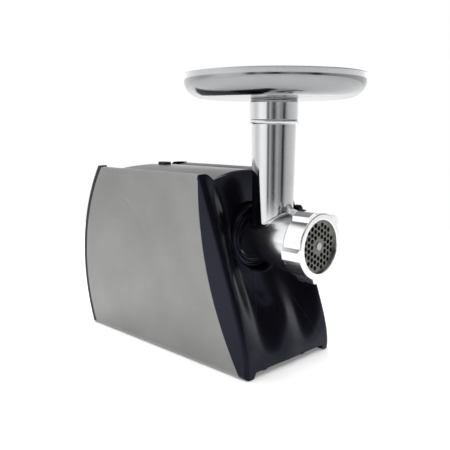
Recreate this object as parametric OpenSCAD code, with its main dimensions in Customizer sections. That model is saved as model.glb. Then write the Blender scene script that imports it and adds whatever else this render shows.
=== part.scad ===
// Electric meat grinder: steel-sided motor body, cast head with feed tube and tray.
// X runs across the body, Y from the tray side to the rear, Z up. Y = 0 lies midway
// between the tray's front rim and the rear cover; the feed tube stands at tube_y.

/* [Body] */
// Width over the two steel side panels
body_w = 144.8; // [140:0.2:176]
// Height of the side panels' top edge above the worktop
body_h = 211.5; // [208:0.5:256]
// Body height at which the front and rear curves have the radii below; they stretch with the body
curve_h = 211.5; // [200:0.5:220]
// Gap under the side panels
panel_gap = 3; // [2:0.5:6]
// Thickness of the steel side panels
panel_t = 1.2; // [0.8:0.1:1.6]
// Depth of the panels' folded top lip
lip_d = 4; // [2:0.5:5]
// Wall of the plastic shells
wall = 2.4; // [2:0.1:3]
// Radius of the panels' hollow front edge
front_r = 360; // [300:5:600]
// Distance of the panels' top front corner behind the feed tube
front_top_y = 43.6; // [42:0.2:50]
// Radius of the panels' round rear edge
rear_r = 205; // [190:1:240]
// Centre of the rear edge behind the feed tube
rear_y = 60.8; // [50:0.5:80]
// Height of the centre of the rear edge
rear_z = 88; // [70:1:110]

/* [Front housing] */
// How far the foot of the wings stands ahead of the feed tube
nose_y = 30; // [28:0.5:40]
// Lean of the wings, run over rise
lean = 0.4; // [0.36:0.01:0.42]
// Height at which the wings begin to lean back
nose_z = 8; // [4:1:14]
// Softness of the bend at the foot of the wings
nose_r = 30; // [20:1:40]
// Depth of the valleys beside the middle panel
valley_d = 14; // [8:0.5:14]
// Half distance between the valleys at the foot
valley_x = 29; // [24:1:34]
// Rounding of the wings' outer edge
wing_r = 5; // [3:0.5:6]
// Height of the middle panel's lower edge
skirt_z = 6.5; // [4:0.5:8]

/* [Top cover] */
// Depth of the two gutters below the panel tops
gutter_d = 6.8; // [4:0.2:9]
// Half distance between the gutters
gutter_x = 53; // [48:0.5:58]
// Rise of the middle dome above the front housing
dome_up = 2; // [0:0.5:4]
// Where the dome begins to fall away, behind the feed tube
dome_end = 190; // [150:1:200]

/* [Rear cover] */
// How far the rear cover stands beyond the steel
trim_w = 10; // [8:0.5:14]
// Rounding of the rear cover's upright edges
trim_r = 9; // [5:0.5:9]
// Width of a cooling slot
vent_w = 3; // [2:0.5:4]
// Distance between cooling slots
vent_pitch = 8; // [7:0.5:12]
// Cooling slots in the rear cover
vent_n = 9; // [3:1:9]
// Radius of the mains inlet gland's bore
gland_r = 3.8; // [3:0.1:4.5]

/* [Base and feet] */
// Thickness of the base plate
base_t = 2.5; // [2:0.1:4]
// Height of the rubber feet under the base plate
foot_h = 4; // [3:0.5:6]
// Radius of the front feet
foot_r = 8; // [6:0.5:10]
// Half distance between the front feet
front_foot_x = 33; // [28:1:40]
// Half distance between the rear feet
rear_foot_x = 52; // [40:1:56]

/* [Head] */
// Height of the barrel's axis below the panel tops
barrel_drop = 72.9; // [72:0.1:76]
// Radius of the barrel's flange and thread
barrel_r = 33; // [32:0.1:35]
// Distance from the feed tube to the barrel's front rim
barrel_len = 60; // [56:0.5:68]
// Radius of the barrel just ahead of the socket
barrel_rear_r = 23; // [22:0.1:25]
// Radius of the spigot that enters the socket
neck_r = 25; // [24:0.1:27]
// Length of the spigot
neck_len = 20; // [16:0.5:22]
// Distance from the feed tube to the socket's front face
socket_y = 24; // [24:0.5:28]

/* [Feed tube and tray] */
// Outer radius of the feed tube at the barrel
tube_low_r = 22.1; // [21.8:0.1:22.4]
// Outer radius of the feed tube under its collar
tube_top_r = 24.1; // [23.6:0.1:25]
// Wall of the feed tube
tube_wall = 2.6; // [2:0.1:3]
// Height of the tube's collar above the barrel axis, at its lower edge
collar_up = 127.4; // [110:0.2:150]
// Length of the tube's collar
collar_len = 22; // [16:0.5:28]
// Outer radius of the tube's collar
collar_r = 26.1; // [25.6:0.1:27]
// Outer radius of the tray's spout inside the collar
spout_r = 23.2; // [22.6:0.1:23.4]
// Depth of the spout inside the collar
spout_len = 18; // [12:0.5:20]
// Diameter of the tray
tray_d = 195.2; // [150:0.2:240]
// Height of the tray's wall
tray_h = 25.6; // [16:0.2:36]
// Width of the tray's rounded lower edge
tray_edge = 22; // [16:0.5:40]
// Height of the tray's rounded lower edge, straight above it
tray_round = 20; // [12:0.5:25]
// Sheet thickness of the tray
tray_t = 1.2; // [0.8:0.1:1.6]

/* [Cutting set] */
// Diameter of the perforated plate
plate_d = 62; // [60:0.1:62.2]
// Thickness of the perforated plate
plate_t = 4.9; // [4:0.1:5]
// Diameter of a hole in the plate
hole_d = 4.8; // [3:0.1:5.4]
// Distance between neighbouring holes
hole_pitch = 6.4; // [6:0.1:9]
// Radius inside which the plate is drilled
drill_r = 24; // [20:0.5:25]
// Radius of the plate's undrilled middle
hub_r = 8; // [7:0.5:10]
// Radius of the auger's front pin
pin_r = 4; // [3:0.1:4.4]
// Thickness of the knife
knife_t = 4; // [3:0.1:4.2]
// Width across the square that carries the knife
square_w = 10; // [8.6:0.1:11]
// Pitch of the auger's flight
flight_pitch = 20; // [16:1:24]
// Axial thickness of the flight
flight_t = 3; // [2:0.5:4]
// Width across the flats of the drive shank
shank_w = 12; // [10:0.5:14]

/* [Ring nut] */
// Outer radius of the nut between its lugs
nut_r = 35.2; // [35:0.1:38]
// Length of the nut
nut_len = 22.6; // [20:0.1:26]
// How far the nut's front lip reaches over the plate
plate_hold = 3; // [2:0.1:4]
// How far the lugs stand beyond the nut
lug_h = 4; // [2:0.1:6]
// Width of a lug
lug_w = 13; // [8:0.5:16]
// Number of lugs
lug_n = 5; // [3:1:6]

/* [Socket and lock] */
// Outer radius of the socket collar
socket_r = 37; // [36:0.1:40]
// Length of the socket collar
socket_len = 20; // [18:0.5:20]
// Height of the lock knob above the barrel axis
lock_up = 19.4; // [14:0.2:26]
// Distance of the lock knob to the side of the barrel axis
lock_x = 57; // [54:0.5:58]
// Distance of the knob's face behind the feed tube
lock_y = 4; // [0:0.5:6]
// Radius over the knob's lobes
knob_r = 13; // [10:0.5:14]
// Throw of the eccentric on the lock's stem
lock_throw = 1.5; // [1:0.1:2]

/* [Gear train] */
// Tooth sizes (modules) of the first, second and third pairs
gear_m = [1, 1.5, 2];
// Teeth of the driving gears
drive_n = [12, 14, 14];
// Teeth of the driven gears
driven_n = [60, 56, 56];
// Face widths of the three pairs
face_w = [8, 11, 16];
// Pressure angle of the teeth
press_a = 25; // [20:1:25]
// Play between meshing teeth
tooth_play = 0.25; // [0.1:0.05:0.4]
// Swing of the second shaft from straight below the output
mid_swing = 18.3; // [10:0.1:20]
// Drop of the first shaft below the second, in degrees
low_swing = 17.75; // [14:0.05:24]
// Radius of the two fixed gear pins
gear_pin_r = 4; // [3:0.1:5]

/* [Motor] */
// Outer radius of the stator
stator_r = 42; // [38:0.5:44]
// Length of the stator
stator_len = 52; // [40:1:60]
// Radius of the rotor core
rotor_r = 21; // [18:0.5:23]
// Air gap between rotor and stator
air_gap = 0.6; // [0.4:0.1:1]
// Radius of the motor shaft
motor_shaft_r = 4; // [3:0.1:4]
// Radius of the commutator
comm_r = 12; // [10:0.5:14]
// Radius of the cooling fan
fan_r = 38; // [30:0.5:38]

/* [Controls] */
// Length of the power button along the body
button_len = 16; // [12:0.5:18]
// Width of the power button
button_w = 11; // [8:0.5:12]
// Height of the button above the cover
button_up = 3; // [2:0.5:4]
// Distance of the buttons behind the feed tube
button_y = 186; // [175:1:188]
// Distance of the reverse button to the right
reverse_x = 34; // [30:0.5:38]
// Radius of the overload reset button
reset_r = 4; // [3:0.5:6]

/* [Clearances] */
// Running clearance on the radius of shafts and pins
run_gap = 0.05; // [0.02:0.01:0.1]
// Clearance on the radius between the spigot and its socket
slide_gap = 0.1; // [0.05:0.05:0.1]
// Clearance round loose and hidden parts
free_gap = 0.4; // [0.3:0.1:0.6]

/* [Hidden] */
$fn = 72;
tiny = 0.01;
half_w = body_w / 2;
barrel_z = body_h - barrel_drop;
stretch = body_h / curve_h;
top_y = rear_y + sqrt(pow(rear_r, 2) - pow(curve_h - rear_z, 2));
back_y = rear_y + rear_r + trim_w;
tube_y = -(back_y - tray_d / 2) / 2;
shell_x = half_w - panel_t;
inner_x = shell_x - wall;
shell_drop = 3.6;
bend_drop = 6.5;
wing_w = 14;
wing_foot_z = 0.6;
skirt_step = 3;
edge_gap = 0.15;
base_z = foot_h;
base_top = base_z + base_t;
front_foot_y = -nose_y + foot_r + 8;
rear_foot_y = back_y - 50;

// gear shafts, in the plane across the body
mid_c = gear_m[2] * (drive_n[2] + driven_n[2]) / 2;
low_c = gear_m[1] * (drive_n[1] + driven_n[1]) / 2;
motor_c = gear_m[0] * (drive_n[0] + driven_n[0]) / 2;
mid_x = -mid_c * sin(mid_swing);
mid_z = barrel_z - mid_c * cos(mid_swing);
low_x = mid_x + low_c * cos(low_swing);
low_z = mid_z - low_c * sin(low_swing);
motor_x = 0;
motor_z = low_z + sqrt(pow(motor_c, 2) - pow(low_x, 2));
shafts = [[low_x, low_z], [mid_x, mid_z], [0, barrel_z]];
addendum = 0.95;
dedendum = 1.2;

// stations along Y from the feed tube
socket_back = socket_y + socket_len;
box_plate = 3;
box_front = socket_back + 2;
gear_side = 2;
out_y = box_front + box_plate + gear_side;
mid_y = out_y + face_w[2] + 1.5;
low_y = mid_y + face_w[1] + 1.5;
box_back = low_y + face_w[0] + gear_side;
box_wall = 2;
fan_y = box_back + box_plate + 6;
fan_w = 12;
coil_w = 12;
stator_y = fan_y + fan_w + coil_w + 3;
stator_end = stator_y + stator_len;
comm_y = stator_end + coil_w + 2;
comm_w = 14;
bearing_y = comm_y + comm_w + 5;
bearing_w = 7;
bearing_r = 9;

// stations of the head, s = distance ahead of the feed tube
nut_back = barrel_len + 6.9 - nut_len;
nut_front = nut_back + nut_len;
nut_lip = 3.4;
nut_open_r = plate_d / 2 - plate_hold;
plate_s = nut_front - nut_lip - 0.1 - plate_t;
knife_s = plate_s - 0.2 - knife_t;
chamber_s = -16;
neck_end = socket_y + neck_len - free_gap;
thrust_t = 3;
socket_bore = neck_r + slide_gap;
nut_bore = barrel_r + slide_gap;
tray_z = barrel_z + collar_up + collar_len + 3.5;

// skins of the body shells
skin_x = concat([half_w, half_w - 0.6, half_w - 1.7, half_w - 3.2],
  [for (i = [0:15]) (inner_x - 0.2) * (1 - i / 16)]);
skin_cols = concat([for (x = skin_x) -x], [0], [for (i = [len(skin_x) - 1:-1:0]) skin_x[i]]);
skin_rows = 26;
// rear cover and base
gland_z = 34;
reset_x = 40;
rear_face = panel_rear(gland_z, trim_w);
screw_sink = 3;
base_back = rear_y + sqrt(pow(rear_r + trim_w - wall, 2) - pow(rear_z - base_z / stretch, 2)) - 1;
rear_screw_at = [for (z = [30, 185], x = [-58, 58]) [x, z]];
boss_h = 8;
base_boss_at = [[-40, box_front + 10], [50, box_front + 10], [-40, stator_end - 12], [40, stator_end - 12],
  [-58, rear_foot_y - 20], [58, rear_foot_y - 20]];
// lock and switches
stem_r = 4;
lock_z = barrel_z + lock_up;
lock_a = atan2(lock_up, lock_x);
lock_dist = sqrt(pow(lock_x, 2) + pow(lock_up, 2));
bolt_y = socket_y + socket_len - 7.5;
cam_r = 5;
bolt_end = lock_dist - cam_r - lock_throw - 0.6;
switch_z = body_h - 24;
// shafts and bushes
motor_at = [motor_x, motor_z];
first_a = toward(motor_at, shafts[0]);
second_a = toward(shafts[0], shafts[1]);
third_a = toward(shafts[1], shafts[2]);
pin_bore = gear_pin_r + run_gap;
out_r = 9;
hub_or = 14;
rear_stub_r = 6;
bush_or = 18;
cover_screw_at = [for (i = [0:3]) let (r = socket_r - 4, a = 60 + 90 * i)
  [r * cos(a), barrel_z + r * sin(a)]];
// head: straight taper up to taper_s, then rounding off to the flange at round_s
chamber_rear_r = 19.2;
chamber_front_r = 27.2;
bush_bore = 9;
journal_r = 7;
auger_back = chamber_s + 0.5;
auger_front = knife_s - 0.4;
core_r = 9;
taper_s = 5;
round_s = 38;
neck_s = -socket_y - 6;
flange_r = barrel_r - 1;
taper = (flange_r - barrel_rear_r) / (taper_s + socket_y - 2 + (round_s - taper_s) * 2 / PI);
ring_step = (socket_r - neck_r) / 12;
key_w = 3;
bolt_r = 3;

// ---- helpers ----

// puts a module drawn round the feed tube into the part's own frame
module placed() {
  translate([0, tube_y, 0]) children();
}

// a round bar along Y from y0 to y1
module bar_y(x, z, y0, y1, r) {
  translate([x, y1, z]) rotate([90, 0, 0]) cylinder(h = y1 - y0, r = r);
}

// a round tube along Y
module tube_along_y(x, z, y0, y1, r, bore) {
  difference() {
    bar_y(x, z, y0, y1, r);
    bar_y(x, z, y0 - 1, y1 + 1, bore);
  }
}

// a flat outline in X and Z, drawn from y0 to y1
module slab_y(x, z, y0, y1) {
  translate([x, y1, z]) rotate([90, 0, 0]) linear_extrude(y1 - y0) children();
}

// an outline in Y and Z, drawn from x0 to x1
module slab_x(x0, x1) {
  translate([x0, 0, 0]) rotate([90, 0, 90]) linear_extrude(x1 - x0) children();
}

// a turned shape round the barrel axis; its outline is [radius, distance ahead of the tube]
module turned(points) {
  translate([0, 0, barrel_z]) rotate([90, 0, 0]) rotate_extrude() polygon(points);
}

module rounded_rect(w, h, r) {
  union() {
    square([w - 2 * r, h], center = true);
    square([w, h - 2 * r], center = true);
    for (x = [-1, 1], z = [-1, 1]) translate([x * (w / 2 - r), z * (h / 2 - r)]) circle(r);
  }
}

// hexagon of the given width across the flats
module hexagon(w) {
  circle(r = w / 2 / cos(30), $fn = 6);
}

module mirrored_x() {
  children();
  mirror([1, 0, 0]) children();
}

// ---- outlines of the body ----

// front edge of the steel panels at height z
function panel_front(z) =
  front_top_y - front_r + sqrt(pow(front_r, 2) - pow((body_h - z) / stretch - bend_drop, 2));
// rear edge of the steel panels at height z, moved out by d
function panel_rear(z, d = 0) = rear_y + sqrt(pow(rear_r + d, 2) - pow(z / stretch - rear_z, 2));
// foremost line of the wings at height z
function wing_front(z) = -nose_y + lean * (sqrt(pow(z / stretch - nose_z, 2) + pow(nose_r, 2)) - nose_r);
function valley_depth(z) = valley_d * sin(180 * max(0, min(1, (z - 15) / (body_h - 15))));
function valley_y(z) = wing_front(z) + valley_depth(z);
function valley_at(z) = valley_x + 11 * z / body_h + 12 * pow(z / body_h, 6);
// swell of the middle panel: proud below the socket, flat beside it
function middle_swell(z) =
  7 * exp(-pow((z - 0.43 * barrel_z) / 35, 2)) - 3 * exp(-pow((z - barrel_z) / 35, 2));
function ease(t) = (1 - cos(180 * t)) / 2;

// front surface of the housing at [x, z]
function front_skin(x, z) =
  let (a = abs(x), v = valley_at(z), tip = half_w - wing_r)
  a <= v ? valley_y(z) - middle_swell(z) * pow(cos(90 * a / v), 2) :
  a <= tip ? valley_y(z) - valley_depth(z) * ease((a - v) / (tip - v)) :
  wing_front(z) + wing_r - sqrt(pow(wing_r, 2) - pow(min(a - tip, wing_r), 2));

// top edge of the housing at x: dome in the middle, a gutter, then a hump at the side
function crest(x) =
  let (a = abs(x), side = half_w - gutter_x)
  a < gutter_x ? body_h + 0.2 - (gutter_d + 0.2) * pow(a / gutter_x, 2.2) :
  body_h - gutter_d + (gutter_d + 0.4) * sin(90 * min(1, (a - gutter_x) / (0.62 * side)))
    - (a > half_w - 2 ? 0.5 * (a - half_w + 2) : 0);

function cover_crest(x) =
  let (a = abs(x))
  a < gutter_x ? crest(x) + dome_up * pow(cos(90 * a / gutter_x), 2) :
  min(crest(x), body_h - 1.1);

// lower edge of the housing at x: raised in the middle, down to the worktop at the wings
function skirt(x) =
  let (a = abs(x))
  a < half_w - wing_w ? skirt_z :
  skirt_z - (skirt_z - wing_foot_z) * ease(min(1, (a - half_w + wing_w) / skirt_step));

// outline of a side panel in Y and Z, from z0 to z1
function side_outline(z0, z1, inset = 0) = concat(
  [for (i = [0:20]) let (z = z0 + (z1 - z0) * i / 20) [panel_front(z) + inset, z]],
  [for (i = [0:24]) let (z = z1 - (z1 - z0) * i / 24) [panel_rear(z) - inset, z]]
);

// ---- body shells ----

function skin_z(x, v) = skirt(x) + (crest(x) - skirt(x)) * v;
function skin_back(x, z) = abs(x) > inner_x - 0.1 ? max(panel_front(z) - edge_gap, front_skin(x, z) + 1)
  : front_skin(x, z) + wall;

// the housing's leaning front as one curved skin
module front_shell() {
  cols = len(skin_cols);
  front = [for (j = [0:skin_rows]) for (x = skin_cols)
    let (z = skin_z(x, j / skin_rows)) [x, front_skin(x, z), z]];
  back = [for (j = [0:skin_rows]) for (x = skin_cols)
    let (z = skin_z(x, j / skin_rows)) [x, skin_back(x, z), z]];
  n = len(front);
  quads = [for (j = [0:skin_rows - 1]) for (i = [0:cols - 2]) let (a = j * cols + i)
    [a, a + 1, a + cols + 1, a + cols]];
  left_edge = [for (j = [0:skin_rows]) j * cols];
  bottom = [for (i = [0:cols - 2]) [i + 1, i, i + n, i + 1 + n]];
  top = [for (i = [0:cols - 2]) let (a = skin_rows * cols + i) [a, a + 1, a + 1 + n, a + n]];
  left = [for (j = [0:skin_rows - 1]) let (a = j * cols) [a, a + cols, a + cols + n, a + n]];
  right = [for (j = [0:skin_rows - 1]) let (a = j * cols + cols - 1)
    [a + cols, a, a + n, a + cols + n]];
  faces = concat(
    [for (q = quads) for (t = [[q[0], q[2], q[1]], [q[0], q[3], q[2]]]) t],
    [for (q = quads) for (t = [[q[0], q[1], q[2]], [q[0], q[2], q[3]]]) [t[0] + n, t[1] + n, t[2] + n]],
    [for (q = concat(bottom, top, left, right)) for (t = [[q[0], q[1], q[2]], [q[0], q[2], q[3]]])
      [t[0], t[2], t[1]]]
  );
  polyhedron(points = concat(front, back), faces = faces, convexity = 6);
}

// well round the socket, cut off along the lean of the front
module socket_well() {
  low = valley_y(barrel_z - socket_r) + 3;
  high = valley_y(barrel_z + socket_r) + 3;
  lean_a = atan((high - low) / (2 * socket_r));
  difference() {
    tube_along_y(0, barrel_z, low - 4, socket_back, socket_r + free_gap + wall, socket_r + free_gap);
    translate([0, (low + high) / 2, barrel_z]) rotate([-lean_a, 0, 0])
      translate([-100, -200, -100]) cube([200, 200, 200]);
  }
}

module front_housing() {
  color("#17171c") placed() {
    difference() {
      front_shell();
      bar_y(0, barrel_z, -60, 80, socket_r + free_gap);
      bar_y(lock_x, barrel_z + lock_up, -60, 80, stem_r + free_gap);
    }
    difference() {
      socket_well();
      bolt_bore(bolt_r + 1);
    }
  }
}

// way of the lock bolt, square to the socket
module bolt_bore(r) {
  translate([0, bolt_y, barrel_z]) rotate([0, -lock_a, 0]) translate([socket_bore - 2, 0, 0])
    rotate([0, 90, 0]) cylinder(h = 30, r = r);
}

module cover_solid(drop, back) {
  steps = 40;
  edge = shell_x - 0.1 - (drop > 0 ? 1.5 : 0);
  intersection() {
    slab_y(0, 0, front_top_y, back) polygon(concat(
      [for (i = [0:steps]) let (x = -edge + 2 * edge * i / steps) [x, cover_crest(x) - drop]],
      [[edge, body_h - 16], [-edge, body_h - 16]]
    ));
    slab_x(-edge - 1, edge + 1) polygon(concat(
      [[0, body_h - 17], [0, body_h + dome_up + 1 - drop]],
      [for (i = [0:16]) let (a = 90 * i / 16)
        [dome_end + (back - dome_end) * sin(a), body_h - 9 - drop + (dome_up + 10) * cos(a)]],
      [[back, body_h - 17]]
    ));
  }
}

// cover between the panels, domed in the middle and falling away at the rear
module top_cover() {
  back = top_y + 8;
  color("#2b2a30") placed() difference() {
    cover_solid(0, back);
    translate([0, -wall, 0]) cover_solid(wall, back);
    translate([-shell_x, 0, body_h - 20]) cube([2 * shell_x, 2 * back, 20 - 3.5 - wall - gutter_d]);
    // seat on the side shells
    mirrored_x() translate([inner_x, 0, body_h - 20]) cube([2 * wall, 2 * back, 20 - shell_drop]);
    translate([0, button_y, body_h - 10]) linear_extrude(20)
      rounded_rect(button_w + 2 * free_gap, button_len + 2 * free_gap, 3);
    translate([reverse_x, button_y, body_h - 20]) linear_extrude(30)
      rounded_rect(button_w + 2 * free_gap, button_w + 2 * free_gap, 3);
  }
}

// solid between two rear arcs, as wide as the body
module rear_band(r_in, r_out, w, z0, z1) {
  intersection() {
    scale([1, 1, stretch]) translate([-w / 2, rear_y, rear_z]) rotate([0, 90, 0]) difference() {
      cylinder(h = w, r = r_out, $fn = 144);
      translate([0, 0, -1]) cylinder(h = w + 2, r = r_in, $fn = 144);
    }
    translate([-w / 2, rear_y, z0]) cube([w, rear_r + 2 * trim_w, z1 - z0]);
  }
}

module rear_cover() {
  z0 = 2.4;
  z1 = body_h + 1;
  color("#141416") placed() difference() {
    union() {
      difference() {
        intersection() {
          rear_band(rear_r, rear_r + trim_w, body_w, z0, z1);
          translate([0, 0, z0]) linear_extrude(z1 - z0) union() {
            translate([-half_w, 100]) square([body_w, back_y - trim_r - 100]);
            translate([-half_w + trim_r, 100]) square([body_w - 2 * trim_r, back_y - 100]);
            mirrored_x() translate([half_w - trim_r, back_y - trim_r]) circle(trim_r);
          }
        }
        // hollow behind the wall
        rear_band(rear_r - 1, rear_r + trim_w - wall, 2 * inner_x, base_top + 1, body_h - 14);
      }
      bar_y(0, gland_z, rear_face - 3, rear_face + 2, gland_r + 6);
      bar_y(reset_x, gland_z, rear_face - 3, rear_face + 2, reset_r + 4);
      for (p = rear_screw_at) let (f = panel_rear(p[1], trim_w))
        bar_y(p[0], p[1], f - screw_sink - 7, f - screw_sink, 4.5);
    }
    // room for the end of the top cover
    translate([-shell_x, 0, body_h - 14.1]) cube([2 * shell_x, top_y + 8 + 0.05, 20]);
    translate([-gutter_x - 3, 0, body_h - 9]) cube([2 * gutter_x + 6, 2 * back_y, 20]);
    // rest of the base plate
    translate([-inner_x, 0, 0]) cube([2 * inner_x, base_back, base_top]);
    for (p = [[0, gland_r + 6], [reset_x, reset_r + 4]])
      bar_y(p[0], gland_z, rear_face - 12, rear_face - 3, p[1]);
    for (i = [0:vent_n - 1])
      translate([-38, rear_y + rear_r - 20, body_h - 50 - i * vent_pitch])
        cube([76, 40, vent_w]);
    bar_y(0, gland_z, rear_y + rear_r - 30, back_y + 5, gland_r + 2.5);
    bar_y(reset_x, gland_z, rear_y + rear_r - 30, back_y + 5, reset_r + free_gap);
    for (p = rear_screw_at) let (f = panel_rear(p[1], trim_w)) {
      bar_y(p[0], p[1], f - 30, f + 5, 1.7);
      bar_y(p[0], p[1], f - screw_sink, f + 5, 3.4);
    }
  }
}

// flat floor of the body, with slots for cooling air
module base_plate() {
  w = inner_x;
  front = -nose_y + wall + 4;
  color("#1b1b1e") placed() difference() {
    union() {
      translate([-w, front, base_z]) cube([2 * w, base_back - front, base_t]);
      for (p = base_boss_at) translate([p[0], p[1], base_top - tiny]) cylinder(h = boss_h, r = 4);
    }
    for (p = base_boss_at) translate([p[0], p[1], 0]) cylinder(h = 40, r = 1.6);
    for (i = [0:6]) translate([-30, 130 + 9 * i, 0]) cube([60, 4, 20]);
    for (x = [-1, 1]) {
      translate([x * front_foot_x, front_foot_y, 0]) cylinder(h = 20, r = 2.5);
      translate([x * rear_foot_x, rear_foot_y, 0]) cylinder(h = 20, r = 2.5);
    }
  }
}

module side_shell() {
  difference() {
    slab_x(inner_x, shell_x) polygon(side_outline(panel_gap, body_h - shell_drop));
    // relieved on the inside, with a rim left round the edge
    slab_x(inner_x - 1, inner_x + 0.8) polygon(side_outline(panel_gap + 12, body_h - 16, 10));
  }
}

module left_side_shell() {
  color("#222226") placed() mirror([1, 0, 0]) side_shell();
}

module right_side_shell() {
  color("#222226") placed() side_shell();
}

// steel panel with a folded lip along its top edge
module steel_panel() {
  slab_x(shell_x, half_w) polygon(side_outline(panel_gap, body_h));
  translate([half_w - lip_d, front_top_y + 1, body_h - 0.8])
    cube([lip_d - panel_t + tiny, top_y - front_top_y - 2, 0.8]);
}

module left_steel_panel() {
  color("#b3b1ac") placed() mirror([1, 0, 0]) steel_panel();
}

module right_steel_panel() {
  color("#b3b1ac") placed() steel_panel();
}

// rubber foot with a stem pressed through the base plate
module foot(x, y, r) {
  translate([x, y, 0]) {
    cylinder(h = 1.2, r1 = r - 1, r2 = r);
    translate([0, 0, 1.2]) cylinder(h = foot_h - 1.2, r = r);
    translate([0, 0, foot_h]) cylinder(h = base_t, r = 2.5);
    translate([0, 0, foot_h + base_t]) cylinder(h = 2, r1 = 3.6, r2 = 2);
  }
}

module front_left_foot() {
  color("#2b2b2b") placed() foot(-front_foot_x, front_foot_y, foot_r);
}

module front_right_foot() {
  color("#2b2b2b") placed() foot(front_foot_x, front_foot_y, foot_r);
}

module rear_left_foot() {
  color("#2b2b2b") placed() foot(-rear_foot_x, rear_foot_y, foot_r);
}

module rear_right_foot() {
  color("#2b2b2b") placed() foot(rear_foot_x, rear_foot_y, foot_r);
}

// a pan-head screw pointing up, its head under the given point
module screw_up(x, y, z, length, r) {
  translate([x, y, z]) difference() {
    union() {
      translate([0, 0, -1.6]) cylinder(h = 1.6, r = 2 * r);
      cylinder(h = length, r = r);
    }
    for (a = [0, 90]) rotate([0, 0, a]) translate([-r, -0.4, -1.7]) cube([2 * r, 0.8, 1]);
  }
}

module base_screws() {
  color("#c9c9c9") placed() for (p = base_boss_at) screw_up(p[0], p[1], base_z, 9, 1.6);
}

module rear_cover_screws() {
  color("#c9c9c9") placed() for (p = rear_screw_at)
    let (f = panel_rear(p[1], trim_w)) {
      bar_y(p[0], p[1], f - screw_sink, f - screw_sink + 1.6, 3.2);
      bar_y(p[0], p[1], f - screw_sink - 9, f - screw_sink, 1.7);
    }
}

// ---- socket and lock ----

// stepped ring that takes the spigot of the head
module socket_collar() {
  color("#101014") placed() difference() {
    turned([
      [socket_bore, -socket_back], [socket_r, -socket_back], [socket_r, -socket_y - 2],
      [socket_r - 2 * ring_step, -socket_y], [socket_r - 4 * ring_step, -socket_y],
      [socket_r - 5 * ring_step, -socket_y - 3], [socket_r - 7 * ring_step, -socket_y - 3],
      [socket_r - 8 * ring_step, -socket_y - 1], [socket_bore + ring_step, -socket_y - 1],
      [socket_bore, -socket_y - 2]
    ]);
    bolt_bore(bolt_r + run_gap);
  }
}

// lobed hand knob on a stem with an eccentric
module lock_knob() {
  lobe_r = 4;
  color("#141416") placed() {
    difference() {
      union() {
        bar_y(lock_x, lock_z, lock_y, lock_y + 10, knob_r - lobe_r);
        for (i = [0:4]) let (a = 90 + 72 * i)
          bar_y(lock_x + (knob_r - lobe_r) * cos(a), lock_z + (knob_r - lobe_r) * sin(a),
            lock_y, lock_y + 10, lobe_r);
      }
      bar_y(lock_x, lock_z, lock_y - 1, lock_y + 1, knob_r - 2 * lobe_r);
    }
    bar_y(lock_x, lock_z, lock_y + 10, socket_back - 1, stem_r);
    bar_y(lock_x - lock_throw * cos(lock_a), lock_z - lock_throw * sin(lock_a),
      bolt_y - 3, bolt_y + 3, cam_r);
  }
}

// bolt that the eccentric presses against the spigot
module lock_bolt() {
  color("#b9b9bd") placed() translate([0, bolt_y, barrel_z]) rotate([0, -lock_a, 0]) {
    translate([neck_r + 0.3, 0, 0]) rotate([0, 90, 0])
      cylinder(h = bolt_end - 3 - neck_r - 0.3 + tiny, r = bolt_r);
    translate([bolt_end - 3, -4, -5]) cube([3, 8, 10]);
  }
}

// ---- controls ----

module push_button(x, w, l, up) {
  top = cover_crest(x) + up;
  translate([x, button_y, switch_z + 6.5]) {
    linear_extrude(top - switch_z - 8) rounded_rect(w, l, 2.6);
    translate([0, 0, top - switch_z - 8]) linear_extrude(1.5) rounded_rect(w - 1.6, l - 1.6, 2);
    linear_extrude(2) square([w + 4, l + 4], center = true);
  }
}

module power_button() {
  color("#111111") placed() push_button(0, button_w, button_len, button_up);
}

module reverse_button() {
  color("#111111") placed() push_button(reverse_x, button_w, button_w, 1.5);
}

// one switch block under both buttons, on a leg plate
module switch_block() {
  color("#2c2c30") placed() {
    translate([-12, button_y - 14, switch_z - 12]) cube([reverse_x + 24, 28, 12]);
    for (x = [0, reverse_x]) translate([x, button_y, switch_z]) cylinder(h = 2.8, r = 2.5);
  }
}

module overload_breaker() {
  color("#3a3a3e") placed() difference() {
    translate([reset_x - 9, rear_face - wall - 29, gland_z - 9]) cube([18, 25, 18]);
    bar_y(reset_x, gland_z, rear_face - wall - 10, rear_face, reset_r + 1 + free_gap);
  }
}

module reset_button() {
  color("#8c1f1f") placed() {
    bar_y(reset_x, gland_z, rear_face - wall - 6.5, rear_face + 4, reset_r);
    bar_y(reset_x, gland_z, rear_face - wall - 6.5, rear_face - wall - 4.6, reset_r + 1);
  }
}

// bushing in the rear cover through which a mains lead would enter
module inlet_gland() {
  color("#0e0e10") placed() difference() {
    union() {
      bar_y(0, gland_z, rear_face - 6, rear_face + 3, gland_r + 2.5);
      bar_y(0, gland_z, rear_face + 2, rear_face + 4, gland_r + 4);
      bar_y(0, gland_z, rear_face - 6, rear_face - 3, gland_r + 4);
    }
    bar_y(0, gland_z, rear_face - 20, rear_face + 20, gland_r);
  }
}

module control_board() {
  y0 = bearing_y + bearing_w + 8;
  color("#2f6b3a") placed() {
    translate([-50, y0, barrel_z - 10]) cube([60, 1.6, 44]);
    translate([-44, y0 + 1.6, barrel_z]) cube([18, 9, 26]);
    bar_y(-8, barrel_z + 14, y0 + 1.6, y0 + 14, 6);
    for (x = [-2, 4]) translate([x, y0 + 1.6, barrel_z - 6]) cube([4, 8, 10]);
  }
}

// ---- gear train ----

function inv_deg(r, rb) = let (a = acos(rb / r)) tan(a) * 180 / PI - a;
function turn2(p, a) = [p[0] * cos(a) - p[1] * sin(a), p[0] * sin(a) + p[1] * cos(a)];

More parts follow.
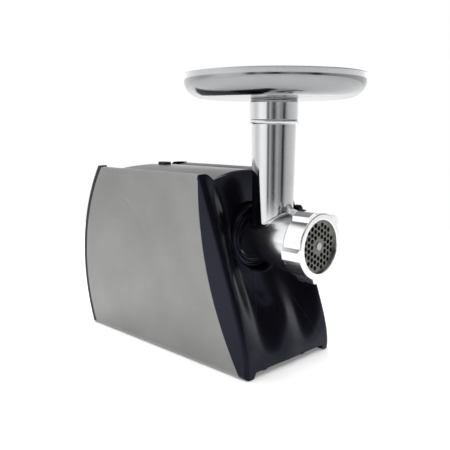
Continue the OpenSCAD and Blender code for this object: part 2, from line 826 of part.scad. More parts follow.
// outline of a spur gear of n teeth and module m, one tooth centred on the X axis
function gear_points(m, n) =
  let (
    rp = m * n / 2, rb = rp * cos(press_a), ra = rp + addendum * m, rr = rp - dedendum * m,
    r0 = max(rb + tiny, rr),
    half = 90 / n - tooth_play / 4 / rp * 180 / PI + inv_deg(rp, rb),
    flank = [for (i = [0:4]) let (r = r0 + (ra - r0) * i / 4) [r, half - inv_deg(r, rb)]],
    foot = rb > rr ? [[rr, flank[0][1]]] : [],
    tooth = concat([for (f = foot) [f[0], -f[1]]], [for (f = flank) [f[0], -f[1]]],
      [for (i = [4:-1:0]) flank[i]], foot)
  )
  [for (k = [0:n - 1]) for (t = tooth) turn2([t[0], 0], t[1] + k * 360 / n)];

module gear(m, n, x, z, y0, w, phase, bore) {
  slab_y(x, z, y0, y0 + w) difference() {
    rotate(phase) polygon(gear_points(m, n));
    circle(bore);
  }
}

// direction from one shaft to the next, and the phase that puts a gap opposite a tooth
function toward(p, q) = atan2(q[1] - p[1], q[0] - p[0]);
function gap_phase(a, n) = a + 180 + 180 / n;

module motor_pinion() {
  color("#9a9ca0") placed() gear(gear_m[0], drive_n[0], motor_x, motor_z, low_y, face_w[0],
    first_a, motor_shaft_r);
}

module low_gear() {
  color("#e4e0d2") placed() {
    gear(gear_m[0], driven_n[0], low_x, low_z, low_y, face_w[0], gap_phase(first_a, driven_n[0]), pin_bore);
    gear(gear_m[1], drive_n[1], low_x, low_z, mid_y, low_y - mid_y, second_a, pin_bore);
    tube_along_y(low_x, low_z, out_y - 1, mid_y, gear_pin_r + 3, pin_bore);
  }
}

module mid_gear() {
  color("#e4e0d2") placed() {
    gear(gear_m[1], driven_n[1], mid_x, mid_z, mid_y, face_w[1],
      gap_phase(second_a, driven_n[1]), pin_bore);
    gear(gear_m[2], drive_n[2], mid_x, mid_z, out_y, mid_y - out_y, third_a, pin_bore);
    tube_along_y(mid_x, mid_z, mid_y + face_w[1], box_back - 0.5, gear_pin_r + 5, pin_bore);
  }
}

module output_gear() {
  color("#d9d4c2") placed() gear(gear_m[2], driven_n[2], 0, barrel_z, out_y, face_w[2],
    gap_phase(third_a, driven_n[2]), out_r);
}

module low_gear_pin() {
  color("#c4c6c9") placed() bar_y(low_x, low_z, box_front + 1, box_back + box_plate, gear_pin_r);
}

module mid_gear_pin() {
  color("#c4c6c9") placed() bar_y(mid_x, mid_z, box_front + 1, box_back + box_plate, gear_pin_r);
}

// steel output shaft with a hexagonal socket in its front end
module output_shaft() {
  color("#b5b7ba") placed() difference() {
    union() {
      bar_y(0, barrel_z, socket_y + 4, out_y - 0.5, hub_or);
      bar_y(0, barrel_z, out_y - 0.5 - tiny, out_y + face_w[2] + 2, out_r);
      bar_y(0, barrel_z, out_y + face_w[2] + 2 - tiny, box_back + box_plate, rear_stub_r);
    }
    slab_y(0, barrel_z, socket_y, socket_back + 1) hexagon(shank_w + 2 * slide_gap);
  }
}

module output_bush() {
  color("#b08d57") placed() tube_along_y(0, barrel_z, socket_back + 0.3, out_y - 0.7,
    bush_or, hub_or + run_gap);
}

module output_rear_bush() {
  color("#b08d57") placed() tube_along_y(0, barrel_z, box_back - 1.5, box_back + box_plate,
    rear_stub_r + 3, rear_stub_r + run_gap);
}

// outline that clears every gear by grow
module box_outline(grow) {
  for (i = [0:2]) translate(shafts[i])
    circle(gear_m[i] * (driven_n[i] / 2 + addendum) + 1 + grow);
  translate(motor_at) circle(gear_m[0] * drive_n[0] / 2 + 3 + grow);
}

module gearbox_housing() {
  color("#34363b") placed() difference() {
    union() {
      slab_y(0, 0, box_front + box_plate, box_back + box_plate) box_outline(box_wall);
      // feet down to the base plate
      for (p = [base_boss_at[0], base_boss_at[1]])
        translate([p[0] - 6, p[1] - 6, base_top + boss_h]) cube([12, 12, low_z - base_top - boss_h - 12]);
    }
    slab_y(0, 0, box_front, box_back) box_outline(0);
    bar_y(0, barrel_z, box_back - 1, box_back + 5, rear_stub_r + 3);
    for (i = [0:1]) bar_y(shafts[i][0], shafts[i][1], box_back - 1, box_back + 5, gear_pin_r);
    bar_y(motor_x, motor_z, box_back - 1, box_back + 5, bearing_r);
    for (p = [base_boss_at[0], base_boss_at[1]])
      translate([p[0], p[1], 0]) cylinder(h = base_top + 14, r = 1.6);
  }
}

module gearbox_cover() {
  color("#3a3c42") placed() difference() {
    union() {
      slab_y(0, 0, box_front, box_front + box_plate) box_outline(box_wall);
      tube_along_y(0, barrel_z, socket_back, box_front, socket_r, bush_or);
    }
    bar_y(0, barrel_z, box_front - 10, box_front + 10, bush_or);
    for (i = [0:1]) bar_y(shafts[i][0], shafts[i][1], box_front + 1, box_front + 10, gear_pin_r);
    for (p = cover_screw_at) bar_y(p[0], p[1], box_front + 1, box_front + 10, 2);
  }
}

// screws that hold the socket collar to the gearbox cover
module gearbox_screws() {
  color("#c9c9c9") placed() for (p = cover_screw_at) {
    bar_y(p[0], p[1], box_front + 1, box_front + box_plate, 2);
    bar_y(p[0], p[1], box_front + box_plate, box_front + box_plate + 1.2, 3.4);
  }
}

// ---- motor ----

module motor_stator() {
  color("#8a8d91") placed() difference() {
    bar_y(motor_x, motor_z, stator_y, stator_end, stator_r);
    bar_y(motor_x, motor_z, stator_y - 1, stator_end + 1, rotor_r + air_gap);
    // winding slots beside the two poles
    for (s = [-1, 1], t = [-1, 1]) translate([s * 27, 0, motor_z + t * 8.5])
      slab_slot(stator_y - 1, stator_end + 1);
    for (z = [-1, 1]) translate([-60, stator_y - 1, motor_z + z * (stator_r + 26) - 30])
      cube([120, stator_len + 2, 60]);
  }
}

module slab_slot(y0, y1) {
  slab_y(0, 0, y0, y1) rounded_rect(12, 9, 2);
}

// two field windings, each a ring through a pair of slots
module field_coils() {
  grow = coil_w - 2;
  color("#b0622c") placed() for (t = [-1, 1]) {
    for (s = [-1, 1]) translate([s * 27, 0, motor_z + t * 8.5])
      slab_y(0, 0, stator_y - grow, stator_end + grow) rounded_rect(11.4, 8.4, 2);
    for (y = [stator_y - grow, stator_end + grow - 7])
      translate([-27, y, motor_z + t * 26 - 4]) cube([54, 7, 8]);
    for (y = [stator_y - grow, stator_end + grow - 7], s = [-1, 1])
      translate([s * 27 - 5.5, y, motor_z + (t > 0 ? 8 : -30)]) cube([11, 7, 22]);
  }
}

module motor_shaft() {
  color("#c9cbce") placed() bar_y(motor_x, motor_z, low_y, bearing_y + bearing_w + 2, motor_shaft_r);
}

module rotor_core() {
  slots = 12;
  color("#76797d") placed() slab_y(motor_x, motor_z, stator_y + 1, stator_end - 1) difference() {
    circle(rotor_r);
    circle(motor_shaft_r);
    for (i = [0:slots - 1]) rotate(i * 360 / slots) translate([rotor_r - 5, -1.5]) square([6, 3]);
  }
}

module rotor_winding() {
  color("#b56a30") placed() {
    tube_along_y(motor_x, motor_z, stator_y - 9, stator_y + 1, rotor_r - 3, motor_shaft_r + 1);
    tube_along_y(motor_x, motor_z, stator_end - 1, comm_y, rotor_r - 3, motor_shaft_r + 1);
  }
}

module commutator() {
  bars = 24;
  color("#b87333") placed() slab_y(motor_x, motor_z, comm_y, comm_y + comm_w) difference() {
    circle(comm_r);
    circle(motor_shaft_r);
    for (i = [0:bars - 1]) rotate(i * 360 / bars) translate([comm_r - 1.2, -0.25]) square([2, 0.5]);
  }
}

module cooling_fan() {
  blades = 11;
  color("#e8e6e0") placed() {
    tube_along_y(motor_x, motor_z, fan_y, fan_y + 1.6, fan_r, motor_shaft_r);
    tube_along_y(motor_x, motor_z, fan_y + 1.6 - tiny, fan_y + fan_w, 8, motor_shaft_r);
    slab_y(motor_x, motor_z, fan_y + 1.6 - tiny, fan_y + fan_w) for (i = [0:blades - 1])
      rotate(i * 360 / blades) translate([7.5, -0.8]) square([fan_r - 8.5, 1.6]);
  }
}

module ball_bearing(y0) {
  tube_along_y(motor_x, motor_z, y0, y0 + bearing_w, bearing_r, motor_shaft_r + run_gap);
}

module front_bearing() {
  color("#cfd1d4") placed() ball_bearing(box_back - 1.5);
}

module rear_bearing() {
  color("#cfd1d4") placed() ball_bearing(bearing_y);
}

// aluminium bridge that holds the rear bearing, on two legs along the stator
module rear_bracket() {
  reach = stator_r - 5;
  color("#a9abae") placed() difference() {
    union() {
      translate([motor_x - reach, bearing_y, motor_z - 13]) cube([2 * reach, bearing_w, 26]);
      for (s = [-1, 1]) translate([motor_x + s * (reach - 3.5) - 3.5, stator_end, motor_z - 3])
        cube([7, bearing_y - stator_end + tiny, 6]);
    }
    bar_y(motor_x, motor_z, bearing_y - 1, bearing_y + bearing_w + 1, bearing_r);
  }
}

module brush_holders() {
  color("#6b4a2f") placed() for (s = [-1, 1]) difference() {
    translate([motor_x + (s > 0 ? comm_r + 2 : -comm_r - 14), comm_y + 1, motor_z - 6])
      cube([12, bearing_y - comm_y - 1, 12]);
    translate([motor_x + (s > 0 ? comm_r : -comm_r - 16), comm_y + 3, motor_z - 3])
      cube([16, 8, 6]);
  }
}

module carbon_brushes() {
  color("#2a2a2a") placed() difference() {
    for (s = [-1, 1]) translate([motor_x + (s > 0 ? comm_r - 1 : -comm_r - 13), comm_y + 3, motor_z - 3])
      cube([14, 8, 6]);
    bar_y(motor_x, motor_z, comm_y, comm_y + comm_w, comm_r + 0.3);
  }
}

// saddle that carries the stator on the base plate
module motor_cradle() {
  color("#26262a") placed() difference() {
    union() {
      translate([-46, stator_end - 18, base_top + boss_h]) cube([92, 12, motor_z - 30 - base_top - boss_h]);
      translate([-46, stator_end - 18, base_top + boss_h]) cube([92, 12, 4]);
    }
    bar_y(motor_x, motor_z, stator_y - 10, stator_end + 10, stator_r);
    for (p = [base_boss_at[2], base_boss_at[3]])
      translate([p[0], p[1], 0]) cylinder(h = base_top + 14, r = 1.6);
  }
}

// ---- grinding head ----

// outer radius of the barrel at s
function barrel_out(s) =
  s < taper_s ? barrel_rear_r + taper * (s + socket_y - 2) :
  barrel_rear_r + taper * (taper_s + socket_y - 2
    + (round_s - taper_s) * 2 / PI * sin(90 * min(1, (s - taper_s) / (round_s - taper_s))));
function barrel_side() = concat(
  [[barrel_rear_r, -socket_y + 2]],
  [for (i = [0:8]) let (s = taper_s + (round_s - taper_s) * i / 8) [barrel_out(s), s]],
  [[flange_r, nut_back - 1]]
);

module grinder_head() {
  bead_r = 1.4;
  collar_z = barrel_z + collar_up;
  color("#c8cace") placed() difference() {
    union() {
      turned([
        [0, -neck_end], [neck_r - 1, -neck_end], [neck_r, -neck_end + 1],
        [neck_r, neck_s], [barrel_rear_r, neck_s + 1], each barrel_side(),
        [barrel_r + 1.6, nut_back - 1], [barrel_r + 1.6, nut_back - 0.4], [barrel_r, nut_back],
        [barrel_r, barrel_len - 0.6], [barrel_r - 0.6, barrel_len], [0, barrel_len]
      ]);
      translate([0, 0, barrel_z]) cylinder(h = collar_up, r1 = tube_low_r, r2 = tube_top_r);
      translate([0, 0, collar_z]) cylinder(h = collar_len, r = collar_r);
      translate([0, 0, collar_z]) rotate_extrude()
        translate([collar_r - 0.6, bead_r]) circle(r = bead_r, $fn = 24);
      // web between the tube and the barrel's flange
      slab_x(-3, 3) polygon([
        [-tube_low_r + 2, barrel_z + 20], [-tube_low_r + 2, barrel_z + 44],
        [-tube_low_r - 5, barrel_z + 36],
        [-nut_back + 1, barrel_z + flange_r], [-nut_back + 1, barrel_z + 20]
      ]);
    }
    // chamber, knife room and plate seat
    turned([
      [0, chamber_s], [chamber_rear_r, chamber_s], [chamber_front_r, knife_s - 3],
      [chamber_front_r + 1.8, knife_s - 1], [chamber_front_r + 1.8, plate_s],
      [plate_d / 2 + slide_gap, plate_s], [plate_d / 2 + slide_gap, barrel_len + 1], [0, barrel_len + 1]
    ]);
    // hollow spigot and the bore of the drive shank
    bar_y(0, barrel_z, socket_y - 2, neck_end + 1, hub_or + 2);
    bar_y(0, barrel_z, -chamber_s - 1, socket_y + 5, bush_bore);
    // way down the feed tube, kept clear of the rear wall
    intersection() {
      translate([0, 0, barrel_z])
        cylinder(h = collar_up + 4, r1 = tube_low_r - tube_wall, r2 = tube_top_r - tube_wall);
      translate([-50, -50, barrel_z]) cube([100, 50 - chamber_s - 0.5, 400]);
    }
    translate([0, 0, collar_z + collar_len - spout_len - 1])
      cylinder(h = spout_len + 2, r = spout_r + slide_gap);
    // key way for the plate
    translate([-key_w / 2 - run_gap, -barrel_len - 1, barrel_z - plate_d / 2 - 1.4])
      cube([key_w + 2 * run_gap, barrel_len - plate_s + 1, 4]);
  }
}

// small key that stops the plate turning
module plate_key() {
  color("#9fa1a5") placed() translate([-key_w / 2, -barrel_len + 0.2, barrel_z - plate_d / 2 - 1.3])
    cube([key_w, barrel_len - plate_s - 0.2, 3.1]);
}

// sheet dish with a spout; the outline is turned round the feed tube
module tray() {
  rim_r = tray_d / 2;
  flat_r = rim_r - tray_edge;
  steps = 14;
  outer = [for (i = [0:steps]) let (a = 90 * i / steps)
    [flat_r + tray_edge * sin(a), tray_round * (1 - cos(a))]];
  inner = [for (i = [steps:-1:0]) let (a = 90 * i / steps)
    [flat_r + (tray_edge - tray_t) * sin(a), tray_t + (tray_round - tray_t) * (1 - cos(a))]];
  drop = tray_z - (barrel_z + collar_up + collar_len);
  color("#c9cbcf") placed() translate([0, 0, tray_z]) rotate_extrude() polygon(concat(
    [[spout_r, -drop - spout_len], [spout_r, -drop], [spout_r + 1.8, -drop],
      [spout_r + 2.2, -drop + 1], [spout_r + 1.4, -drop + 1.6], [spout_r + 2, 0]],
    outer, [[rim_r, tray_h], [rim_r - tray_t, tray_h]], inner,
    [[spout_r + 1, tray_t], [spout_r - tray_t, -1], [spout_r - tray_t, -drop - spout_len]]
  ));
}

// cast screw: a tapering flight on a core, with a square and a pin at the front
module auger() {
  len = auger_front - auger_back;
  front_r_a = chamber_front_r - 0.7;
  rear_r_a = chamber_rear_r - 0.5;
  slice = 360 * flight_t / flight_pitch;
  color("#b7b9bc") placed() difference() {
    union() {
      turned([
        [0, auger_back], [core_r, auger_back], [core_r + 2.5, auger_front - 2], [core_r, auger_front],
        [0, auger_front]
      ]);
      translate([0, -auger_front + 1, barrel_z]) rotate([-90, 0, 0])
        linear_extrude(height = len - 2, twist = 360 * (len - 2) / flight_pitch,
          scale = rear_r_a / front_r_a, slices = 72, segments = 8, convexity = 8)
          polygon(concat([for (i = [1, 0]) 4 * [cos(slice * i), sin(slice * i)]],
            [for (i = [0:5]) front_r_a * [cos(slice * i / 5), sin(slice * i / 5)]]));
      slab_y(0, barrel_z, -plate_s + 0.2, -auger_front + tiny) square(square_w - 0.2, center = true);
      bar_y(0, barrel_z, -plate_s - plate_t - 1, -plate_s + 0.2 + tiny, pin_r);
    }
    slab_y(0, barrel_z, -auger_back - 12, -auger_back + 1) hexagon(shank_w);
  }
}

// steel drive shank pressed into the auger
module auger_shank() {
  color("#a4a6aa") placed() {
    slab_y(0, barrel_z, -auger_back - 12, -auger_back + 0.5) hexagon(shank_w);
    bar_y(0, barrel_z, -auger_back + 0.5 - tiny, socket_y + 3, journal_r);
    slab_y(0, barrel_z, socket_y + 3 - tiny, neck_end - 2) hexagon(shank_w);
  }
}

module thrust_washer() {
  color("#efece4") placed() {
    tube_along_y(0, barrel_z, -chamber_s + 0.1, -chamber_s + 5, bush_bore, journal_r + run_gap);
  }
}

// four-bladed knife
module knife() {
  blade_r = chamber_front_r - 0.6;
  color("#9b9da1") placed() slab_y(0, barrel_z, -knife_s - knife_t, -knife_s) difference() {
    union() {
      circle(10);
      for (i = [0:3]) rotate(90 * i)
        polygon([[0, -4.5], [blade_r - 3, -4.5], [blade_r, -1], [blade_r - 1, 2.5], [0, 4.5]]);
    }
    square(square_w, center = true);
  }
}

// perforated plate, drilled in columns
module cutting_plate() {
  column = hole_pitch * cos(30);
  reach = ceil(drill_r / column);
  color("#55565a") placed() difference() {
    bar_y(0, barrel_z, -plate_s - plate_t, -plate_s, plate_d / 2 - tiny);
    bar_y(0, barrel_z, -plate_s - plate_t - 1, -plate_s + 1, pin_r + run_gap);
    for (i = [-reach:reach], j = [-reach:reach])
      let (x = i * column, z = (j + (i % 2 == 0 ? 0 : 0.5)) * hole_pitch, d = sqrt(x * x + z * z))
        if (d > hub_r && d < drill_r)
          bar_y(x, barrel_z + z, -plate_s - plate_t - 1, -plate_s + 1, hole_d / 2);
    translate([-key_w / 2 - run_gap, -plate_s - plate_t - 1, barrel_z - plate_d / 2 - 1])
      cube([key_w + 2 * run_gap, plate_t + 2, 2.9 + run_gap]);
  }
}

// closing ring with lugs for the hand
module ring_nut() {
  color("#cfd1d4") placed() difference() {
    union() {
      turned([
        [nut_bore - 1, nut_back], [nut_r - 0.8, nut_back], [nut_r, nut_back + 0.8],
        [nut_r, nut_front - 1.6], [nut_r - 1.6, nut_front], [nut_bore - 1, nut_front]
      ]);
      turned([[nut_open_r, nut_front - nut_lip], [nut_bore, nut_front - nut_lip], [nut_bore, nut_front],
        [nut_open_r + 1, nut_front], [nut_open_r, nut_front - 1]]);
      for (i = [0:lug_n - 1]) translate([0, 0, barrel_z]) rotate([0, -(45 + i * 360 / lug_n), 0])
        translate([nut_r - 3, -nut_front + 1.4, -lug_w / 2]) cube([lug_h + 3, nut_len - 3, lug_w]);
    }
    bar_y(0, barrel_z, -nut_front + nut_lip, -nut_back + 1, nut_bore);
  }
}

front_housing();
top_cover();
rear_cover();
base_plate();
left_side_shell();
right_side_shell();
left_steel_panel();
right_steel_panel();
front_left_foot();
front_right_foot();
rear_left_foot();
rear_right_foot();
base_screws();
rear_cover_screws();
socket_collar();
lock_knob();
lock_bolt();
power_button();
reverse_button();
switch_block();
overload_breaker();
reset_button();
inlet_gland();
control_board();
gearbox_housing();
gearbox_cover();
gearbox_screws();
low_gear();
low_gear_pin();
mid_gear();
mid_gear_pin();
output_gear();
output_shaft();
output_bush();
output_rear_bush();
motor_stator();
field_coils();
motor_shaft();
rotor_core();
rotor_winding();
commutator();
cooling_fan();
motor_pinion();
front_bearing();
rear_bearing();
rear_bracket();
brush_holders();
carbon_brushes();
motor_cradle();
grinder_head();
plate_key();
tray();
auger();
auger_shank();
thrust_washer();
knife();
cutting_plate();
ring_nut();
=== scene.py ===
import math
import bmesh
import bpy
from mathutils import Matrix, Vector


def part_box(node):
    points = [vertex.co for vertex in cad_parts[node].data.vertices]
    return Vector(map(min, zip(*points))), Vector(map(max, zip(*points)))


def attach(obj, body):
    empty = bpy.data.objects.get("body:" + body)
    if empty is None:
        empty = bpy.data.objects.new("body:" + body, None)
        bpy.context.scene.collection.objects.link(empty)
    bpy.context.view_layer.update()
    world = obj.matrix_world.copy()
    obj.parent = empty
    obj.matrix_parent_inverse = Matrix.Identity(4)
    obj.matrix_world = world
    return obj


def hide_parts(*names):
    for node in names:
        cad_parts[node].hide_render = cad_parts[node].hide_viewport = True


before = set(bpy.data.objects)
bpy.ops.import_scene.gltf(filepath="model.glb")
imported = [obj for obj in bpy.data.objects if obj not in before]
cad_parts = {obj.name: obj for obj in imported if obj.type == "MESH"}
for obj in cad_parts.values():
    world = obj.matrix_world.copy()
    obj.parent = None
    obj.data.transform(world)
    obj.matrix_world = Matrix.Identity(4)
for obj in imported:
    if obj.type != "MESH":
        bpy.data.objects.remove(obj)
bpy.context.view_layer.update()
print("frame loaded")

# sizes below are in millimetres round the feed tube's foot: x to the right, y to the rear, z up
mm = 0.001
trayLow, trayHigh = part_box("tray")
collarLow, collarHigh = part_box("socket_collar")
panelLow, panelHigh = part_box("right_steel_panel")
tubeY = (trayLow.y + trayHigh.y) / 2
barrelZ = (collarLow.z + collarHigh.z) / 2 / mm
halfWidth = panelHigh.x / mm
bodyTop = panelHigh.z / mm


def at(x, y, z):
    return Vector((x * mm, y * mm + tubeY, z * mm))


def inFrame(node):
    # lowest and highest corner of a CAD node in the same millimetres
    low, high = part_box(node)
    return [[p.x / mm, (p.y - tubeY) / mm, p.z / mm] for p in (low, high)]


def cosine(degrees):
    return math.cos(math.radians(degrees))


def sine(degrees):
    return math.sin(math.radians(degrees))


def ease(t):
    return (1 - cosine(180 * max(0.0, min(1.0, t)))) / 2


# finishes

def newNode(tree, kind, x, y, **settings):
    node = tree.nodes.new(kind)
    node.location = (x, y)
    for key, value in settings.items():
        if key in node.inputs:
            node.inputs[key].default_value = value
        else:
            setattr(node, key, value)
    return node


def stretched(tree, scale, shift=(0, 0, 0)):
    # the piece's own metres, stretched so that a pattern runs along it
    where = newNode(tree, "ShaderNodeTexCoord", -1500, 0)
    mapping = newNode(tree, "ShaderNodeMapping", -1300, 0)
    mapping.inputs["Scale"].default_value = scale
    mapping.inputs["Location"].default_value = shift
    tree.links.new(where.outputs["Object"], mapping.inputs["Vector"])
    return mapping.outputs["Vector"]


def makeFinish(name, look):
    finish = bpy.data.materials.new(name)
    finish.use_nodes = True
    tree = finish.node_tree
    shader = tree.nodes["Principled BSDF"]
    shader.inputs["Metallic"].default_value = look.get("metal", 0)
    shader.inputs["Specular IOR Level"].default_value = look.get("gloss", 0.5)
    shader.inputs["Specular Tint"].default_value = (*look.get("tint", (1, 1, 1)), 1)
    vector = stretched(tree, look.get("stretch", (1, 1, 1)))

    # colour drifts softly between two tones, with a finer mottle over it
    cloud = newNode(tree, "ShaderNodeTexNoise", -1000, 300, Scale=18, Detail=3)
    grain = newNode(tree, "ShaderNodeTexNoise", -1000, 0, Scale=look["grain"], Detail=5, Roughness=0.6)
    tree.links.new(vector, grain.inputs["Vector"])
    plain = newNode(tree, "ShaderNodeTexCoord", -1500, 300)
    tree.links.new(plain.outputs["Object"], cloud.inputs["Vector"])
    both = newNode(tree, "ShaderNodeMath", -800, 200, operation="MULTIPLY_ADD")
    both.inputs[1].default_value = look.get("mottle", 0.3)
    tree.links.new(grain.outputs["Fac"], both.inputs[0])
    tree.links.new(cloud.outputs["Fac"], both.inputs[2])
    tones = newNode(tree, "ShaderNodeValToRGB", -600, 300)
    tones.color_ramp.elements[0].position = 0.35
    tones.color_ramp.elements[0].color = (*look["dark"], 1)
    tones.color_ramp.elements[1].position = 0.95
    tones.color_ramp.elements[1].color = (*look["light"], 1)
    tree.links.new(both.outputs[0], tones.inputs["Fac"])

    # edges that hands and cloths rub are a little paler
    form = newNode(tree, "ShaderNodeNewGeometry", -1000, -600)
    rubbed = newNode(tree, "ShaderNodeMapRange", -800, -600)
    rubbed.inputs["From Min"].default_value = 0.52
    rubbed.inputs["From Max"].default_value = 0.62
    rubbed.inputs["To Max"].default_value = look.get("wear", 0.3)
    worn = newNode(tree, "ShaderNodeMix", -300, 300, data_type="RGBA")
    worn.inputs[7].default_value = (*look.get("bare", look["light"]), 1)
    tree.links.new(form.outputs["Pointiness"], rubbed.inputs["Value"])
    tree.links.new(rubbed.outputs["Result"], worn.inputs["Factor"])
    tree.links.new(tones.outputs["Color"], worn.inputs[6])
    tree.links.new(worn.outputs[2], shader.inputs["Base Color"])

    # roughness follows the grain and a slow smear
    smear = newNode(tree, "ShaderNodeTexNoise", -1000, -300, Scale=30, Detail=4)
    tree.links.new(plain.outputs["Object"], smear.inputs["Vector"])
    mixed = newNode(tree, "ShaderNodeMath", -800, -200, operation="ADD")
    tree.links.new(grain.outputs["Fac"], mixed.inputs[0])
    tree.links.new(smear.outputs["Fac"], mixed.inputs[1])
    rough = newNode(tree, "ShaderNodeMapRange", -600, -200)
    rough.inputs["From Min"].default_value = 0.6
    rough.inputs["From Max"].default_value = 1.4
    rough.inputs["To Min"].default_value = look["rough"][0]
    rough.inputs["To Max"].default_value = look["rough"][1]
    tree.links.new(mixed.outputs[0], rough.inputs["Value"])
    tree.links.new(rough.outputs["Result"], shader.inputs["Roughness"])

    # relief: the grain itself, and turning marks where a lathe cut the face
    bump = newNode(tree, "ShaderNodeBump", -300, -400, Strength=look.get("bump", 0.1))
    bump.inputs["Distance"].default_value = look.get("relief", 0.05) * mm
    tree.links.new(grain.outputs["Fac"], bump.inputs["Height"])
    last = bump
    if "turning" in look:
        centre = stretched(tree, (1, 1, 1), (0, 0, -barrelZ * mm))
        marks = newNode(tree, "ShaderNodeTexWave", -1000, -900, wave_type="RINGS",
                        rings_direction=look["turning"], Scale=look.get("pitch", 600), Distortion=1.5)
        tree.links.new(centre, marks.inputs["Vector"])
        cut = newNode(tree, "ShaderNodeBump", -100, -600, Strength=look.get("cut", 0.2))
        cut.inputs["Distance"].default_value = 0.03 * mm
        tree.links.new(marks.outputs["Fac"], cut.inputs["Height"])
        tree.links.new(bump.outputs["Normal"], cut.inputs["Normal"])
        last = cut
    tree.links.new(last.outputs["Normal"], shader.inputs["Normal"])
    return finish


looks = {
    "glossBlack": {"dark": (0.0025, 0.0025, 0.004), "light": (0.005, 0.005, 0.008), "rough": (0.18, 0.26),
                   "gloss": 0.2, "tint": (0.55, 0.62, 1),
                   "grain": 900, "bump": 0.05, "relief": 0.02, "bare": (0.03, 0.03, 0.04), "wear": 0.3},
    "trimBlack": {"dark": (0.008, 0.008, 0.009), "light": (0.014, 0.014, 0.016), "rough": (0.3, 0.42),
                  "gloss": 0.15, "grain": 1500, "bump": 0.15, "relief": 0.03, "bare": (0.03, 0.03, 0.03)},
    "coverGrey": {"dark": (0.02, 0.02, 0.025), "light": (0.035, 0.033, 0.042), "rough": (0.25, 0.35),
                  "grain": 1800, "bump": 0.2, "relief": 0.03, "wear": 0.2},
    "innerDark": {"dark": (0.02, 0.02, 0.022), "light": (0.035, 0.035, 0.038), "rough": (0.5, 0.65),
                  "grain": 1600, "bump": 0.3, "relief": 0.05},
    "brushedSteel": {"dark": (0.2, 0.199, 0.196), "light": (0.25, 0.249, 0.246), "metal": 1,
                     "rough": (0.3, 0.42), "grain": 900, "stretch": (1, 0.03, 1), "bump": 0.12,
                     "relief": 0.02, "bare": (0.6, 0.6, 0.6), "wear": 0.4, "mottle": 0.5},
    "mirrorAluminium": {"dark": (0.52, 0.525, 0.54), "light": (0.6, 0.605, 0.615), "metal": 1,
                        "rough": (0.05, 0.12), "grain": 300, "bump": 0.06, "relief": 0.02,
                        "bare": (0.9, 0.9, 0.92), "wear": 0.3},
    "satinAluminium": {"dark": (0.6, 0.605, 0.62), "light": (0.7, 0.705, 0.715), "metal": 1,
                       "rough": (0.2, 0.26), "grain": 220, "bump": 0.04, "relief": 0.01,
                       "bare": (0.85, 0.85, 0.86), "wear": 0.3},
    "spunAluminium": {"dark": (0.26, 0.263, 0.268), "light": (0.3, 0.303, 0.31), "metal": 1,
                      "rough": (0.09, 0.14), "grain": 300, "bump": 0.02, "relief": 0.01,
                      "turning": "Z", "pitch": 400, "cut": 0.08, "bare": (0.85, 0.85, 0.86), "wear": 0.4},
    "turnedAluminium": {"dark": (0.76, 0.765, 0.775), "light": (0.84, 0.845, 0.855), "metal": 1,
                        "rough": (0.18, 0.28), "grain": 700, "bump": 0.12, "relief": 0.03,
                        "turning": "Y", "pitch": 700, "cut": 0.25, "bare": (0.9, 0.9, 0.9), "wear": 0.5},
    "castAluminium": {"dark": (0.36, 0.365, 0.37), "light": (0.48, 0.485, 0.49), "metal": 1,
                      "rough": (0.35, 0.5), "grain": 900, "bump": 0.4, "relief": 0.08},
    "plateSteel": {"dark": (0.1, 0.1, 0.09), "light": (0.15, 0.15, 0.135), "metal": 1,
                   "rough": (0.3, 0.45), "grain": 800, "bump": 0.15, "relief": 0.03,
                   "turning": "Y", "pitch": 500, "cut": 0.3, "bare": (0.35, 0.35, 0.34), "wear": 0.5},
    "groundSteel": {"dark": (0.35, 0.35, 0.355), "light": (0.46, 0.46, 0.465), "metal": 1,
                    "rough": (0.2, 0.32), "grain": 900, "bump": 0.1, "bare": (0.7, 0.7, 0.7)},
    "zincSteel": {"dark": (0.5, 0.5, 0.52), "light": (0.62, 0.62, 0.63), "metal": 1,
                  "rough": (0.3, 0.45), "grain": 1200, "bump": 0.2, "bare": (0.75, 0.75, 0.75)},
    "rubber": {"dark": (0.018, 0.018, 0.018), "light": (0.032, 0.032, 0.032), "rough": (0.65, 0.85),
               "grain": 1400, "bump": 0.5, "relief": 0.06},
    "redPlastic": {"dark": (0.3, 0.02, 0.02), "light": (0.4, 0.03, 0.03), "rough": (0.25, 0.35),
                   "grain": 1500, "bump": 0.1},
    "nylon": {"dark": (0.62, 0.6, 0.52), "light": (0.75, 0.73, 0.65), "rough": (0.4, 0.55),
              "grain": 1200, "bump": 0.2},
    "bronze": {"dark": (0.4, 0.26, 0.12), "light": (0.55, 0.36, 0.18), "metal": 1, "rough": (0.35, 0.5),
               "grain": 1500, "bump": 0.3},
    "lamination": {"dark": (0.1, 0.1, 0.105), "light": (0.2, 0.2, 0.21), "metal": 1, "rough": (0.4, 0.55),
                   "grain": 400, "stretch": (1, 12, 1), "bump": 0.5, "relief": 0.1},
    "copper": {"dark": (0.4, 0.15, 0.06), "light": (0.62, 0.27, 0.12), "metal": 1, "rough": (0.25, 0.4),
               "grain": 500, "stretch": (1, 0.1, 1), "bump": 0.6, "relief": 0.2},
    "carbon": {"dark": (0.015, 0.015, 0.015), "light": (0.03, 0.03, 0.03), "rough": (0.5, 0.6),
               "grain": 1500, "bump": 0.3},
    "board": {"dark": (0.012, 0.1, 0.03), "light": (0.02, 0.16, 0.05), "rough": (0.3, 0.4),
              "grain": 700, "bump": 0.2},
}
finishes = {name: makeFinish(name, look) for name, look in looks.items()}
print("finishes made:", len(finishes))


# making pieces

madePieces = []


